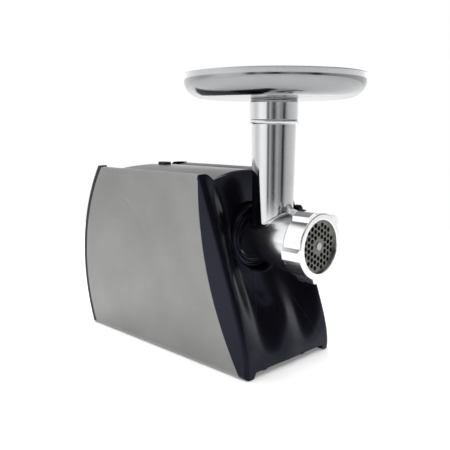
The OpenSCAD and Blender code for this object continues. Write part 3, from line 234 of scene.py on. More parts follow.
def newShape(name, points, faces, thin=0):
    # thin: edges shorter than this are taken out
    mesh = bpy.data.meshes.new(name)
    mesh.from_pydata([at(*p) for p in points], [], faces)
    work = bmesh.new()
    work.from_mesh(mesh)
    bmesh.ops.remove_doubles(work, verts=work.verts, dist=0.002 * mm)
    if thin:
        bmesh.ops.dissolve_degenerate(work, edges=work.edges, dist=thin * mm)
    bmesh.ops.recalc_face_normals(work, faces=work.faces)
    work.to_mesh(mesh)
    work.free()
    shape = bpy.data.objects.new(name, mesh)
    bpy.context.scene.collection.objects.link(shape)
    return shape


def newPiece(name, points, faces, finish, body, slotName, stands=(), sharp=38):
    piece = newShape(name, points, faces, 0.001)
    piece.data.materials.append(finishes[finish])
    smooth(piece, sharp)
    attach(piece, body)
    if stands:
        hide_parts(*stands)
    madePieces.append(piece)
    return piece


def smooth(piece, sharp):
    piece.data.shade_smooth()
    piece.data.set_sharp_from_angle(angle=math.radians(sharp))


def scratch(points, faces):
    # a shape used only to cut or join, thrown away afterwards
    return newShape("scratch", points, faces)


def combine(piece, shape, how, sharp=38):
    # joins or cuts with a throw-away shape and keeps the result as plain mesh
    step = piece.modifiers.new("combine", "BOOLEAN")
    step.operation = how
    step.solver = "EXACT"
    step.object = shape
    graph = bpy.context.evaluated_depsgraph_get()
    made = bpy.data.meshes.new_from_object(piece.evaluated_get(graph))
    piece.modifiers.clear()
    old = piece.data
    piece.data = made
    bpy.data.meshes.remove(old)
    bpy.data.objects.remove(shape)
    work = bmesh.new()
    work.from_mesh(made)
    bmesh.ops.remove_doubles(work, verts=work.verts, dist=0.002 * mm)
    work.to_mesh(made)
    work.free()
    smooth(piece, sharp)


def roundEdges(piece, width, steps=3, angle=38):
    soft = piece.modifiers.new("softEdges", "BEVEL")
    soft.width = width * mm
    soft.segments = steps
    soft.limit_method = "ANGLE"
    soft.angle_limit = math.radians(angle)
    soft.use_clamp_overlap = True


def evenShading(piece):
    # long faces beside small rounded edges keep their own direction
    even = piece.modifiers.new("evenShading", "WEIGHTED_NORMAL")
    even.mode = "FACE_AREA"
    even.weight = 50
    even.keep_sharp = True


def softened(outline, steps=5):
    # outline of [a, b, radius]; each corner with a radius becomes a small curve
    made = []
    count = len(outline)
    for i, corner in enumerate(outline):
        here = Vector(corner[:2])
        radius = corner[2] if len(corner) > 2 else 0
        if not radius:
            made.append(tuple(here))
            continue
        before = Vector(outline[i - 1][:2]) - here
        after = Vector(outline[(i + 1) % count][:2]) - here
        start = here + before.normalized() * min(radius, before.length * 0.48)
        end = here + after.normalized() * min(radius, after.length * 0.48)
        for k in range(steps + 1):
            t = k / steps
            made.append(tuple(start * (1 - t) ** 2 + here * 2 * t * (1 - t) + end * t * t))
    return made


def revolved(outline, turns, toPoint):
    # a closed outline of [radius, along] turned into a ring or a solid
    points, faces = [], []
    count = len(outline)
    for i in range(turns):
        angle = 360 * i / turns
        points += [toPoint(r, s, angle) for r, s in outline]
    for i in range(turns):
        j = (i + 1) % turns
        for k in range(count):
            n = (k + 1) % count
            quad = [i * count + k, i * count + n, j * count + n, j * count + k]
            if outline[k][0] < 1e-6 and outline[n][0] < 1e-6:
                continue
            if outline[k][0] < 1e-6:
                quad = [i * count + k, i * count + n, j * count + n]
            elif outline[n][0] < 1e-6:
                quad = [i * count + k, i * count + n, j * count + k]
            faces.append(quad)
    if any(r < 1e-6 for r, s in outline):
        # every turn shares the points on the axis
        first = {k: k for k in range(count) if outline[k][0] < 1e-6}
        faces = [[v % count if v % count in first else v for v in f] for f in faces]
    return points, faces


def rowFaces(rows, count, closed=False):
    # faces between rows of points, each row a closed loop; closed joins the last row to the first
    faces = []
    for j in range(rows if closed else rows - 1):
        k = (j + 1) % rows
        for i in range(count):
            n = (i + 1) % count
            faces.append([j * count + i, j * count + n, k * count + n, k * count + i])
    return faces


def endFaces(base, count, outerCount):
    # closes the end of a thin wall, between its outer and inner points
    last = base + count - 1
    return [[base + i, base + i + 1, last - 1 - i, last - i] for i in range(outerCount - 1)]


def aboutBarrel(r, s, angle):
    # s runs forward from the feed tube, along the barrel
    return (r * cosine(angle), -s, barrelZ + r * sine(angle))


def aboutTube(r, s, angle):
    return (r * cosine(angle), r * sine(angle), s)


def aboutLine(x, z):
    # s runs to the rear
    return lambda r, s, angle: (x + r * cosine(angle), s, z + r * sine(angle))


def prism(outline, toPoint, low, high):
    # an outline drawn between two planes
    count = len(outline)
    points = [toPoint(a, b, low) for a, b in outline] + [toPoint(a, b, high) for a, b in outline]
    faces = [[i, (i + 1) % count, (i + 1) % count + count, i + count] for i in range(count)]
    faces += [list(range(count))[::-1], list(range(count, 2 * count))]
    return points, faces


def joined(*shapes):
    points, faces = [], []
    for p, f in shapes:
        base = len(points)
        points += p
        faces += [[v + base for v in face] for face in f]
    return points, faces


# the body's outlines

body = {
    "noseOut": 30, "lean": 0.4, "noseUp": 8, "noseSoft": 30,
    "valleyDeep": 14, "valleyAt": 29, "edgeRound": 5,
    "skirtUp": 7, "tipWide": 14, "tipUp": 0.6, "skirtStep": 2.5,
    "gutterDeep": 6.8, "gutterAt": 53, "domeUp": 2,
    "panelArc": 360, "panelTopY": 43.6, "panelDrop": 6.5,
    "rearArc": 205, "rearY": 60.8, "rearZ": 88, "trim": 10,
    "wall": 2.4, "panelGap": 3,
}


def wingFront(z):
    soft = body["noseSoft"]
    return -body["noseOut"] + body["lean"] * (math.hypot(z - body["noseUp"], soft) - soft)


def valleyDepth(z):
    return body["valleyDeep"] * sine(180 * max(0, min(1, (z - 15) / (bodyTop - 15))))


def valleyAt(z):
    return body["valleyAt"] + 11 * z / bodyTop + 12 * (z / bodyTop) ** 6


def middleSwell(z):
    return 7 * math.exp(-((z - 0.43 * barrelZ) / 35) ** 2) - 3 * math.exp(-((z - barrelZ) / 35) ** 2)


def frontY(x, z):
    # the leaning front: a middle panel, a valley each side, and wings with a round edge
    a, valley, tip = abs(x), valleyAt(z), halfWidth - body["edgeRound"]
    floor = wingFront(z) + valleyDepth(z)
    if a <= valley:
        return floor - middleSwell(z) * cosine(90 * a / valley) ** 2
    if a <= tip:
        return floor - valleyDepth(z) * ease((a - valley) / (tip - valley))
    r = body["edgeRound"]
    return wingFront(z) + r - math.sqrt(max(0, r * r - min(a - tip, r) ** 2))


def crestZ(x):
    a, side = abs(x), halfWidth - body["gutterAt"]
    if a < body["gutterAt"]:
        return bodyTop + 0.2 - (body["gutterDeep"] + 0.2) * (a / body["gutterAt"]) ** 2.2
    up = (body["gutterDeep"] + 0.4) * sine(90 * min(1, (a - body["gutterAt"]) / (0.62 * side)))
    return bodyTop - body["gutterDeep"] + up - max(0, 0.5 * (a - halfWidth + 2))


def coverZ(x):
    if abs(x) < body["gutterAt"]:
        return crestZ(x) + body["domeUp"] * cosine(90 * abs(x) / body["gutterAt"]) ** 2
    return min(crestZ(x), bodyTop - 1.1)


def skirtZ(x):
    past = abs(x) - halfWidth + body["tipWide"]
    return body["skirtUp"] - (body["skirtUp"] - body["tipUp"]) * ease(past / body["skirtStep"])


def panelFront(z):
    r = body["panelArc"]
    return body["panelTopY"] - r + math.sqrt(r * r - (bodyTop - body["panelDrop"] - z) ** 2)


def panelRear(z, out=0):
    return body["rearY"] + math.sqrt((body["rearArc"] + out) ** 2 - (z - body["rearZ"]) ** 2)


# front housing

front = {"hole": 37.4, "lip": 3.0, "wellBack": 44, "rays": 340, "rows": 70, "tipRound": 4.5, "topRound": 2.0}


def frontEdge():
    # the housing's outline seen from the front, evenly spaced, as [x, z]
    side = halfWidth
    right = [(x, skirtZ(x)) for x in range(int(side - front["tipRound"]))]
    tip = front["tipRound"]
    corner = softened([(side - 2 * tip, body["tipUp"]), (side, body["tipUp"], tip), (side, 3 * tip)], 8)[1:-1]
    flank = [(side, z) for z in range(int(corner[-1][1]) + 3, int(bodyTop) - 4, 3)]
    top = softened([(side, bodyTop - 8), (side, crestZ(side - 1), front["topRound"]),
                    (side - 6, crestZ(side - 6))])[1:-1]
    crest = [(x, crestZ(x)) for x in [side - 3 - i for i in range(0, int(side) - 2)] if x > 0]
    half = right + corner + flank + top + crest
    line = half + [(0, crestZ(0))] + [(-x, z) for x, z in half[:0:-1]]
    lengths = [0]
    for a, b in zip(line, line[1:] + line[:1]):
        lengths.append(lengths[-1] + math.dist(a, b))
    made, k = [], 0
    for i in range(front["rays"]):
        goal = lengths[-1] * i / front["rays"]
        while lengths[k + 1] < goal:
            k += 1
        t = (goal - lengths[k]) / max(1e-9, lengths[k + 1] - lengths[k])
        a, b = line[k], line[(k + 1) % len(line)]
        made.append((a[0] + (b[0] - a[0]) * t, a[1] + (b[1] - a[1]) * t))
    return made


def makeFrontHousing():
    edge = frontEdge()
    rings = []
    hole, lip, wall = front["hole"], front["lip"], body["wall"]
    rays = []
    for i, (x, z) in enumerate(edge):
        angle = math.atan2(z - barrelZ, x)
        before, after = edge[i - 1], edge[(i + 1) % len(edge)]
        along = Vector((after[0] - before[0], after[1] - before[1])).normalized()
        rays.append((angle, x, z, Vector((-along.y, along.x))))

    def ring(place):
        rings.append([place(*ray) for ray in rays])

    # the well round the socket, from its back edge forward, then the lip
    for r, y in ((hole + wall, front["wellBack"]), (hole, front["wellBack"])):
        ring(lambda a, x, z, n: (r * math.cos(a), y, barrelZ + r * math.sin(a)))
    for k in range(7):
        t = 90 * (1 - k / 6)
        r = hole + lip - lip * sine(t)
        drop = lip * (1 - cosine(t))
        ring(lambda a, x, z, n: (r * math.cos(a), frontY(r * math.cos(a), barrelZ + r * math.sin(a)) + drop,
                                 barrelZ + r * math.sin(a)))
    # the front surface, out to the edge
    start = hole + lip
    for k in range(1, front["rows"] + 1):
        s = sine(90 * k / front["rows"])

        def onFront(a, x, z, n):
            px = start * math.cos(a) * (1 - s) + x * s
            pz = (barrelZ + start * math.sin(a)) * (1 - s) + z * s
            return px, frontY(px, pz), pz
        ring(onFront)

    def backY(x, z):
        if z > bodyTop - 9 and abs(x) < halfWidth - 1:
            return body["panelTopY"] - 0.1
        if abs(x) > halfWidth - 0.8 * body["tipWide"] and z < bodyTop:
            return max(panelFront(max(z, 1)) - 0.2, frontY(x, z) + 1)
        return frontY(x, z) + wall
    ring(lambda a, x, z, n: (x, backY(x, z), z))
    inset = 1.5 * wall
    ring(lambda a, x, z, n: (x + n.x * inset, backY(x, z), z + n.y * inset))
    for k in range(9):
        s = 1 - k / 8

        def inside(a, x, z, n):
            r = hole + wall + 0.5
            px = r * math.cos(a) * (1 - s) + (x + n.x * inset) * s
            pz = (barrelZ + r * math.sin(a)) * (1 - s) + (z + n.y * inset) * s
            return px, min(frontY(px, pz) + wall, front["wellBack"] - 0.5), pz
        ring(inside)
    points = [p for row in rings for p in row]
    faces = rowFaces(len(rings), len(rays), True)
    piece = newPiece("frontHousing", points, faces, "glossBlack", "motor_body", "gloss_black",
                     ["front_housing"], 40)
    roundEdges(piece, 0.9, 3, 40)


makeFrontHousing()
print("front housing made")


# steel side panels

panel = {"across": 190, "up": 130, "long": 290, "thick": 1.2, "topRound": 1.6, "lip": 4.0,
         "edgeSoft": 0.35, "arcY": 214.4, "arcZ": 99.7, "arcR": 83.5, "grooveWide": 2.2, "grooveDeep": 0.22}


def grooveDepth(y, z):
    # the faint pressed line that sweeps down the panel
    off = math.hypot(y - panel["arcY"], z - panel["arcZ"]) - panel["arcR"]
    ahead = panel["arcY"] - 12 - y
    fade = ease(ahead / 30) * ease((z - body["panelGap"]) / 60)
    return panel["grooveDeep"] * math.exp(-(off / panel["grooveWide"]) ** 2) * fade


def makePanel(name, side, node):
    low, high = body["panelGap"], bodyTop
    thick, r = panel["thick"], panel["topRound"]
    outer, inner = [], []
    for k in range(panel["up"] + 1):
        z = low + (high - r - low) * k / panel["up"]
        outer.append((halfWidth, z))
        inner.append((halfWidth - thick, z))
    for k in range(1, 7):
        t = 90 * k / 6
        outer.append((halfWidth - r + r * cosine(t), high - r + r * sine(t)))
        inner.append((halfWidth - r + (r - thick) * cosine(t), high - r + (r - thick) * sine(t)))
    outer.append((halfWidth - panel["lip"], high))
    inner.append((halfWidth - panel["lip"], high - thick))
    loop = outer + inner[::-1]
    # close rows at both ends, where the edge is pinched in
    fine = [0, 0.0008, 0.002, 0.004]
    steps = fine + [0.006 + 0.988 * i / panel["across"] for i in range(panel["across"] + 1)]
    steps += [1 - s for s in fine[::-1]]
    points = []
    for s in steps:
        edgeAway = min(s, 1 - s) * panel["long"]
        pinch = panel["edgeSoft"] * max(0, 1 - edgeAway / 0.8) ** 2
        for i, (x, z) in enumerate(loop):
            y = panelFront(z) + (panelRear(z) - panelFront(z)) * s
            if i < len(outer):
                x -= pinch + (grooveDepth(y, z) if z < high - r else 0)
            points.append((side * x, y, z))
    count = len(loop)
    faces = rowFaces(len(steps), count)
    for base in (0, (len(steps) - 1) * count):
        faces += endFaces(base, count, len(outer))
    newPiece(name, points, faces, "brushedSteel", "motor_body", "brushed_steel", [node], 50)


makePanel("rightSteelPanel", 1, "right_steel_panel")
makePanel("leftSteelPanel", -1, "left_steel_panel")
print("steel panels made")


# top cover

cover = {"back": 8, "domeEnd": 190, "edge": 71.0, "fall": 9, "across": 120, "along": 110, "blend": 2.5,
         "buttonSkirt": 2, "buttonGap": 0.4}
topRearY = panelRear(bodyTop)
coverBack = topRearY + cover["back"]


def coverTopZ(x, y):
    # the arched cover, rolling down into the rear cover
    arch = coverZ(x)
    past = max(0, min(1, (y - cover["domeEnd"]) / (coverBack - cover["domeEnd"])))
    fall = bodyTop - cover["fall"] + (body["domeUp"] + 10) * math.sqrt(1 - past * past)
    k = cover["blend"]
    h = max(k - abs(arch - fall), 0) / k
    return min(arch, fall) - h * h * k / 4


def makeTopCover():
    wall, edge = body["wall"], cover["edge"]
    nx, ny = cover["across"], cover["along"]
    points, faces = [], []
    for under in (0, 1):
        for j in range(ny + 1):
            t = j / ny
            y = body["panelTopY"] + (coverBack - body["panelTopY"]) * sine(90 * t) ** 0.9
            for i in range(nx + 1):
                x = -edge + 2 * edge * i / nx
                points.append((x, y, coverTopZ(x, y) - under * wall))
    layer = (nx + 1) * (ny + 1)
    for j in range(ny):
        for i in range(nx):
            a = j * (nx + 1) + i
            faces.append([a, a + 1, a + nx + 2, a + nx + 1])
            faces.append([layer + a, layer + a + nx + 1, layer + a + nx + 2, layer + a + 1])
    rim = list(range(nx + 1)) + [(j + 1) * (nx + 1) - 1 for j in range(1, ny + 1)]
    rim += [ny * (nx + 1) + i for i in range(nx - 1, -1, -1)] + [j * (nx + 1) for j in range(ny - 1, 0, -1)]
    for a, b in zip(rim, rim[1:] + rim[:1]):
        faces.append([a, b, b + layer, a + layer])
    piece = newPiece("topCover", points, faces, "coverGrey", "motor_body", "gloss_black", ["top_cover"], 40)
    for node in ("power_button", "reverse_button"):
        low, high = inFrame(node)
        gap, skirt = cover["buttonGap"], cover["buttonSkirt"]
        hole = roundedRect((low[0] + high[0]) / 2, (low[1] + high[1]) / 2,
                           high[0] - low[0] - 2 * skirt + 2 * gap, high[1] - low[1] - 2 * skirt + 2 * gap, 3)
        combine(piece, scratch(*prism(hole, lambda a, b, c: (a, b, c), bodyTop - 20, bodyTop + 20)),
                "DIFFERENCE", 40)
    roundEdges(piece, 0.5, 2, 50)


def roundedRect(x, y, wide, long, radius, steps=6):
    # corners in order, as [x, y]
    made = []
    for cx, cy, start in ((1, 1, 0), (-1, 1, 90), (-1, -1, 180), (1, -1, 270)):
        for k in range(steps + 1):
            t = start + 90 * k / steps
            made.append((x + cx * (wide / 2 - radius) + radius * cosine(t),
                         y + cy * (long / 2 - radius) + radius * sine(t)))
    return made


makeTopCover()
print("top cover made")


# rear cover

rear = {"corner": 7, "wall": 2.4, "low": 2.4, "high": 212.5, "middleHigh": 202.5, "rows": 110,
        "slots": 9, "slotWide": 76, "slotHigh": 3, "slotPitch": 8, "slotTop": 50,
        "screwX": (-58, 58), "screwZ": (30, 185), "screwSink": 3.6}


def rearTopZ(x):
    return rear["middleHigh"] + (rear["high"] - rear["middleHigh"]) * ease((abs(x) - 52) / 6)


def makeRearCover():
    r, wall = rear["corner"], rear["wall"]
    screwPlaces = [(x, z) for x in rear["screwX"] for z in rear["screwZ"]]
    # plan of the cover at one height, as [x, how far from the steel's edge to the rear face, side or back]
    outer, inner = [], []
    for t in range(0, 6):
        outer.append((halfWidth, "side", t / 5))
        inner.append((halfWidth - wall - panel["thick"], "side", t / 5))
    for k in range(1, 9):
        t = 90 * k / 8
        outer.append((halfWidth - r + r * cosine(t), "round", r * sine(t)))
        inner.append((halfWidth - r + (r - wall) * cosine(t), "round", (r - wall) * sine(t)))
    middle = 60
    for i in range(1, middle):
        x = (halfWidth - r) * (1 - 2 * i / middle)
        outer.append((x, "back", 0))
        inner.append((x, "back", wall))
    outer += [(-x, kind, t) for x, kind, t in outer[:14][::-1]]
    inner += [(-x, kind, t) for x, kind, t in inner[:14][::-1]]
    loop = outer + inner[::-1]
    points = []
    for j in range(rear["rows"] + 1):
        v = j / rear["rows"]
        for x, kind, t in loop:
            z = rear["low"] + (rearTopZ(x) - rear["low"]) * v
            face, steel = panelRear(z, body["trim"]), panelRear(z) + 0.1
            if kind == "side":
                y = steel + (face - r - steel) * t
            elif kind == "round":
                y = face - r + t
            else:
                y = face - t
            points.append((x, y, z))
    count = len(loop)
    faces = rowFaces(rear["rows"] + 1, count)
    for base in (0, rear["rows"] * count):
        faces += endFaces(base, count, len(outer))
    piece = newPiece("rearCover", points, faces, "trimBlack", "motor_body", "black_plastic",
                     ["rear_cover"], 40)

    def slot(z):
        half = rear["slotHigh"] / 2
        shape = roundedRect(0, z + half, rear["slotWide"], rear["slotHigh"], half - 0.05, 5)
        return prism(shape, lambda a, b, c: (a, c, b), 220, 290)
    slots = joined(*[slot(bodyTop - rear["slotTop"] - i * rear["slotPitch"]) for i in range(rear["slots"])])
    combine(piece, scratch(*slots), "DIFFERENCE", 40)
    glandLow, glandHigh = inFrame("inlet_gland")
    resetLow, resetHigh = inFrame("reset_button")
    holes = [((glandLow[0] + glandHigh[0]) / 2, (glandLow[2] + glandHigh[2]) / 2, 6.3),
             ((resetLow[0] + resetHigh[0]) / 2, (resetLow[2] + resetHigh[2]) / 2, 4.4)]
    holes += [(x, z, rear["screwSink"]) for x, z in screwPlaces]
    rounds = joined(*[revolved([(0, 200), (h[2], 200), (h[2], 300), (0, 300)], 40, aboutLine(h[0], h[1]))
                      for h in holes])
    combine(piece, scratch(*rounds), "DIFFERENCE", 40)
    roundEdges(piece, 0.5, 2, 50)
    # cups that the screws sit in
    cups = []
    for x, z in screwPlaces:
        back, sink = panelRear(z, body["trim"]), rear["screwSink"]
        cups.append(revolved([(1.8, back - 6), (sink, back - 6), (sink, back - 1.2), (3.3, back - 1.2),
                              (3.3, back - 3.05), (1.8, back - 3.05)], 32, aboutLine(x, z)))
    newPiece("rearScrewCups", *joined(*cups), "trimBlack", "motor_body", "black_plastic")


makeRearCover()
print("rear cover made")


# socket collar and lock knob

socket = {"bore": 25.1, "outer": 37.0, "front": 24, "back": 44, "steps": 160}


def makeSocketCollar():
    s = socket
    outline = softened([
        (s["bore"], -s["back"], 0.4), (s["outer"], -s["back"], 0.4), (s["outer"], -s["front"] - 2.2, 1.2),
        (s["outer"] - 1.8, -s["front"], 1.2), (s["outer"] - 4, -s["front"], 0.8),
        (s["outer"] - 4.8, -s["front"] - 3, 0.8), (s["outer"] - 7, -s["front"] - 3, 0.8),
        (s["outer"] - 7.8, -s["front"] - 1, 0.8), (s["bore"] + 2.6, -s["front"] - 1, 0.5),
        (s["bore"] + 2, -s["front"] - 1.8, 0.4), (s["bore"] + 1, -s["front"] - 1.8, 0.4),
        (s["bore"], -s["front"] - 2.8, 0.5)])
    newPiece("socketCollar", *revolved(outline, s["steps"], aboutBarrel), "glossBlack", "motor_body",
             "gloss_black", ["socket_collar"], 50)


knob = {"x": 57, "up": 19.4, "front": 4, "radius": 13, "lobe": 4.2, "lobes": 5, "stem": 4}


def makeLockKnob():
    # a hand knob whose edge swells into lobes
    z = barrelZ + knob["up"]
    steps = 160
    # how deep each row lies, and its share of the radius
    rows = [(0, 0), (0, 0.5), (0.55, 0.8), (0.9, 0.93), (2.0, 1), (7.6, 1), (9.1, 0.94), (9.8, 0.84),
            (10, 0.7), (10, 0)]
    points = []
    for deep, share in rows:
        for i in range(steps):
            angle = 90 + 360 * i / steps
            wave = (1 + cosine(knob["lobes"] * (angle - 90))) / 2
            r = (knob["radius"] - knob["lobe"] * (1 - wave ** 0.8)) * share
            sunk = 0.9 * ease((0.62 - share) / 0.2) if deep < 1 else 0
            points.append((knob["x"] + r * cosine(angle), knob["front"] + deep + sunk, z + r * sine(angle)))
    stem = revolved(softened([(0, 13.9), (6, 13.9, 0.6), (6, 16.5, 1.5), (knob["stem"], 18, 0.8),
                              (knob["stem"], 43), (0, 43)]), 48, aboutLine(knob["x"], z))
    lobed = (points, rowFaces(len(rows), steps))
    newPiece("lockKnob", *joined(lobed, stem), "glossBlack", "lock_knob", "gloss_black", ["lock_knob"], 45)


makeSocketCollar()
makeLockKnob()
print("socket and knob made")


# buttons, gland, feet

def makeButton(name, node):
    low, high = inFrame(node)
    skirt = cover["buttonSkirt"]
    x, y = (low[0] + high[0]) / 2, (low[1] + high[1]) / 2
    wide, long = high[0] - low[0] - 2 * skirt, high[1] - low[1] - 2 * skirt
    top = high[2]
    points = []
    # how far each row lies below the top, and how far in from the edge
    rows = [(-12, 0), (-1.3, 0), (-0.75, 0.12), (-0.3, 0.42), (-0.06, 0.85), (0, 1.3), (-0.12, 2.2),
            (-0.28, 3.4)]
    for down, inset in rows:
        points += [(px, py, top + down) for px, py in
                   roundedRect(x, y, wide - 2 * inset, long - 2 * inset, max(0.4, 2.6 - 0.5 * inset))]
    count = len(points) // len(rows)
    faces = rowFaces(len(rows), count)
    faces += [list(range(count))[::-1], list(range((len(rows) - 1) * count, len(rows) * count))]
    newPiece(name, points, faces, "trimBlack", node, "black_plastic", [node], 45)


foot = {"radius": 8, "high": 4, "stem": 2.5}


def makeFoot(name, node):
    low, high = inFrame(node)
    x, y = (low[0] + high[0]) / 2, (low[1] + high[1]) / 2
    r = foot["radius"]
    outline = softened([(0, 0.5), (r - 3.2, 0.5, 0.4), (r - 2.6, 0, 0.3), (r - 1, 0, 0.6), (r, 1.4, 0.8),
                        (r, foot["high"] - 0.05, 0.7), (foot["stem"], foot["high"] - 0.05, 0.2),
                        (foot["stem"], foot["high"] + 2.5), (3.5, foot["high"] + 2.6, 0.3), (2, high[2]),
                        (0, high[2])])
    newPiece(name, *revolved(outline, 64, lambda r, s, a: (x + r * cosine(a), y + r * sine(a), s)),
             "rubber", "motor_body", "rubber", [node], 45)


def makeGland():
    low, high = inFrame("inlet_gland")
    x, z = (low[0] + high[0]) / 2, (low[2] + high[2]) / 2
    bore, face = 3.8, high[1]
    outline = softened([(bore, low[1]), (bore + 4, low[1], 0.4), (bore + 4, low[1] + 3, 0.4),
                        (bore + 2.5, low[1] + 3, 0.2), (bore + 2.5, face - 2, 0.2), (bore + 4, face - 2, 0.4),
                        (bore + 4, face - 0.9, 0.8), (bore + 2.6, face, 0.8), (bore + 1, face, 0.6),
                        (bore, face - 1, 0.6)])
    newPiece("inletGland", *revolved(outline, 64, aboutLine(x, z)), "rubber", "motor_body", "black_plastic",
             ["inlet_gland"], 45)


makeButton("powerButton", "power_button")
makeButton("reverseButton", "reverse_button")
makeGland()
for footName in ("front_left_foot", "front_right_foot", "rear_left_foot", "rear_right_foot"):
    makeFoot(footName + "Rubber", footName)
print("buttons, gland and feet made")


# grinder head

head = {
    "neckEnd": 43.6, "neck": 25, "rearR": 23, "socketY": 24, "barrel": 33, "length": 60,
    "flangeBack": 43.3, "flange": 34.6,
    "tubeLow": 22.1, "tubeTop": 24.1, "tubeWall": 2.6, "collarUp": 127.4, "collarLong": 22, "collar": 26.1,
    "spout": 23.3, "spoutLong": 18, "fillet": 3.0,
    "chamberBack": -16, "chamberRear": 19.2, "chamberFront": 27.2, "knifeAt": 54.4, "plateAt": 58.5,
    "plate": 31.1, "hub": 16, "journal": 9, "steps": 192,
}


def barrelRadius(s):
    # outer radius of the barrel: a straight taper that rounds off towards the flange
    h = head
    start, taperEnd, roundEnd = 2 - h["socketY"], 5, 38
    slope = (h["barrel"] - 1 - h["rearR"]) / (taperEnd - start + (roundEnd - taperEnd) * 2 / math.pi)
    if s < taperEnd:
        return h["rearR"] + slope * max(0, s - start)
    past = min(1, (s - taperEnd) / (roundEnd - taperEnd))
    return h["rearR"] + slope * (taperEnd - start + (roundEnd - taperEnd) * 2 / math.pi * sine(90 * past))


def makeHead():
    h = head
    barrel = softened([
        (0, -h["neckEnd"]), (h["neck"], -h["neckEnd"], 1.2), (h["neck"], -h["socketY"] - 6, 0.6),
        (h["rearR"], -h["socketY"] - 5, 0.6),
        *[(barrelRadius(s), s) for s in range(2 - h["socketY"], 43, 2)],
        (h["barrel"] - 1, h["flangeBack"], 0.8),
        (h["flange"], h["flangeBack"], 0.4), (h["flange"], h["flangeBack"] + 0.9, 0.4),
        (h["barrel"], h["flangeBack"] + 1, 0.3), (h["barrel"], h["length"], 0.7), (0, h["length"])])
    piece = newPiece("grinderHead", *revolved(barrel, h["steps"], aboutBarrel), "mirrorAluminium",
                     "head", "polished_aluminium", ["grinder_head"], 30)
    up, top = barrelZ + h["collarUp"], barrelZ + h["collarUp"] + h["collarLong"]
    tube = softened([
        (0, barrelZ), (h["tubeLow"], barrelZ), (h["tubeTop"], up - 1.2, 0.4),
        (h["collar"] + 0.4, up - 0.6, 0.9), (h["collar"] + 0.9, up + 1.4, 0.9),
        (h["collar"] + 0.4, up + 3.2, 0.7), (h["collar"] - 0.3, up + 3.4, 0.4),
        (h["collar"], top, 0.8), (0, top)])
    combine(piece, scratch(*revolved(tube, h["steps"], aboutTube)), "UNION", 30)
    rib = [(-h["tubeLow"] + 2, barrelZ + 20), (-h["tubeLow"] + 2, barrelZ + 44),
           (-h["tubeLow"] - 5, barrelZ + 36), (-h["flangeBack"], barrelZ + h["barrel"] - 1.2),
           (-h["flangeBack"], barrelZ + 20)]
    combine(piece, scratch(*prism(rib, lambda a, b, c: (c, a, b), -2.6, 2.6)), "UNION", 30)
    chamber = [
        (0, h["chamberBack"]), (h["chamberRear"], h["chamberBack"]), (h["chamberFront"], h["knifeAt"] - 3),
        (h["chamberFront"] + 1.8, h["knifeAt"] - 1), (h["chamberFront"] + 1.8, h["plateAt"]),
        (h["plate"], h["plateAt"]), (h["plate"], h["length"] + 1), (0, h["length"] + 1)]
    combine(piece, scratch(*revolved(chamber, h["steps"], aboutBarrel)), "DIFFERENCE", 30)
    hub = [(0, -h["neckEnd"] - 1), (h["hub"], -h["neckEnd"] - 1), (h["hub"], -h["socketY"] + 2),
           (h["journal"], -h["socketY"] + 2), (h["journal"], h["chamberBack"] + 1), (0, h["chamberBack"] + 1)]
    combine(piece, scratch(*revolved(hub, 96, aboutBarrel)), "DIFFERENCE", 30)
    wall = h["tubeWall"]
    bore = [(0, barrelZ + 2), (h["tubeLow"] - wall, barrelZ + 2), (h["tubeTop"] - wall, up),
            (h["tubeTop"] - wall, top - h["spoutLong"]), (h["spout"], top - h["spoutLong"]),
            (h["spout"], top + 1), (0, top + 1)]
    combine(piece, scratch(*revolved(bore, h["steps"], aboutTube)), "DIFFERENCE", 30)
    # the tube is polished, the cast barrel is left satin
    piece.data.materials.append(finishes["satinAluminium"])
    for face in piece.data.polygons:
        x, y, z = face.center.x / mm, (face.center.y - tubeY) / mm, face.center.z / mm
        onTube = math.hypot(x, y) < h["collar"] + 2 and z > barrelZ + h["rearR"] - 3
        if not onTube or math.hypot(x, z - barrelZ) < barrelRadius(-y) + 0.05:
            face.material_index = 1


def makeTubeFillet():
    # the small cast fillet where the tube meets the barrel
    h = head
    steps, across = 180, 6
    points = []

    def barrelTop(r, angle):
        x, y = r * cosine(angle), r * sine(angle)
        return barrelZ + math.sqrt(max(0, barrelRadius(-y) ** 2 - x * x))
    for i in range(steps):
        angle = 360 * i / steps
        r = h["tubeLow"] + 0.15
        low = barrelTop(r, angle)
        outR = r + h["fillet"]
        out = barrelTop(outR, angle)
        for k in range(across + 1):
            t = k / across
            pr = r * (1 - t) ** 2 + (r + 0.1) * 2 * t * (1 - t) + outR * t * t
            pz = (low + h["fillet"] * 1.4) * (1 - t) ** 2 + low * 2 * t * (1 - t) + (out + 0.02) * t * t
            points.append((pr * cosine(angle), pr * sine(angle), pz))
        points.append((outR * cosine(angle), outR * sine(angle), out - 0.8))
        points.append(((r - 0.8) * cosine(angle), (r - 0.8) * sine(angle), low - 1))
        points.append(((r - 0.8) * cosine(angle), (r - 0.8) * sine(angle), low + h["fillet"] * 1.4))
    newPiece("tubeFillet", points, rowFaces(steps, across + 4, True), "mirrorAluminium", "head",
             "polished_aluminium", (), 60)


makeHead()
makeTubeFillet()
print("grinder head made")


# tray

tray = {"edge": 22, "round": 20, "high": 25.6, "thick": 1.2, "bottom": 291.5, "bead": 0.9,
        "spout": 23.2, "spoutLong": 18, "seat": 288, "steps": 256, "curve": 22}


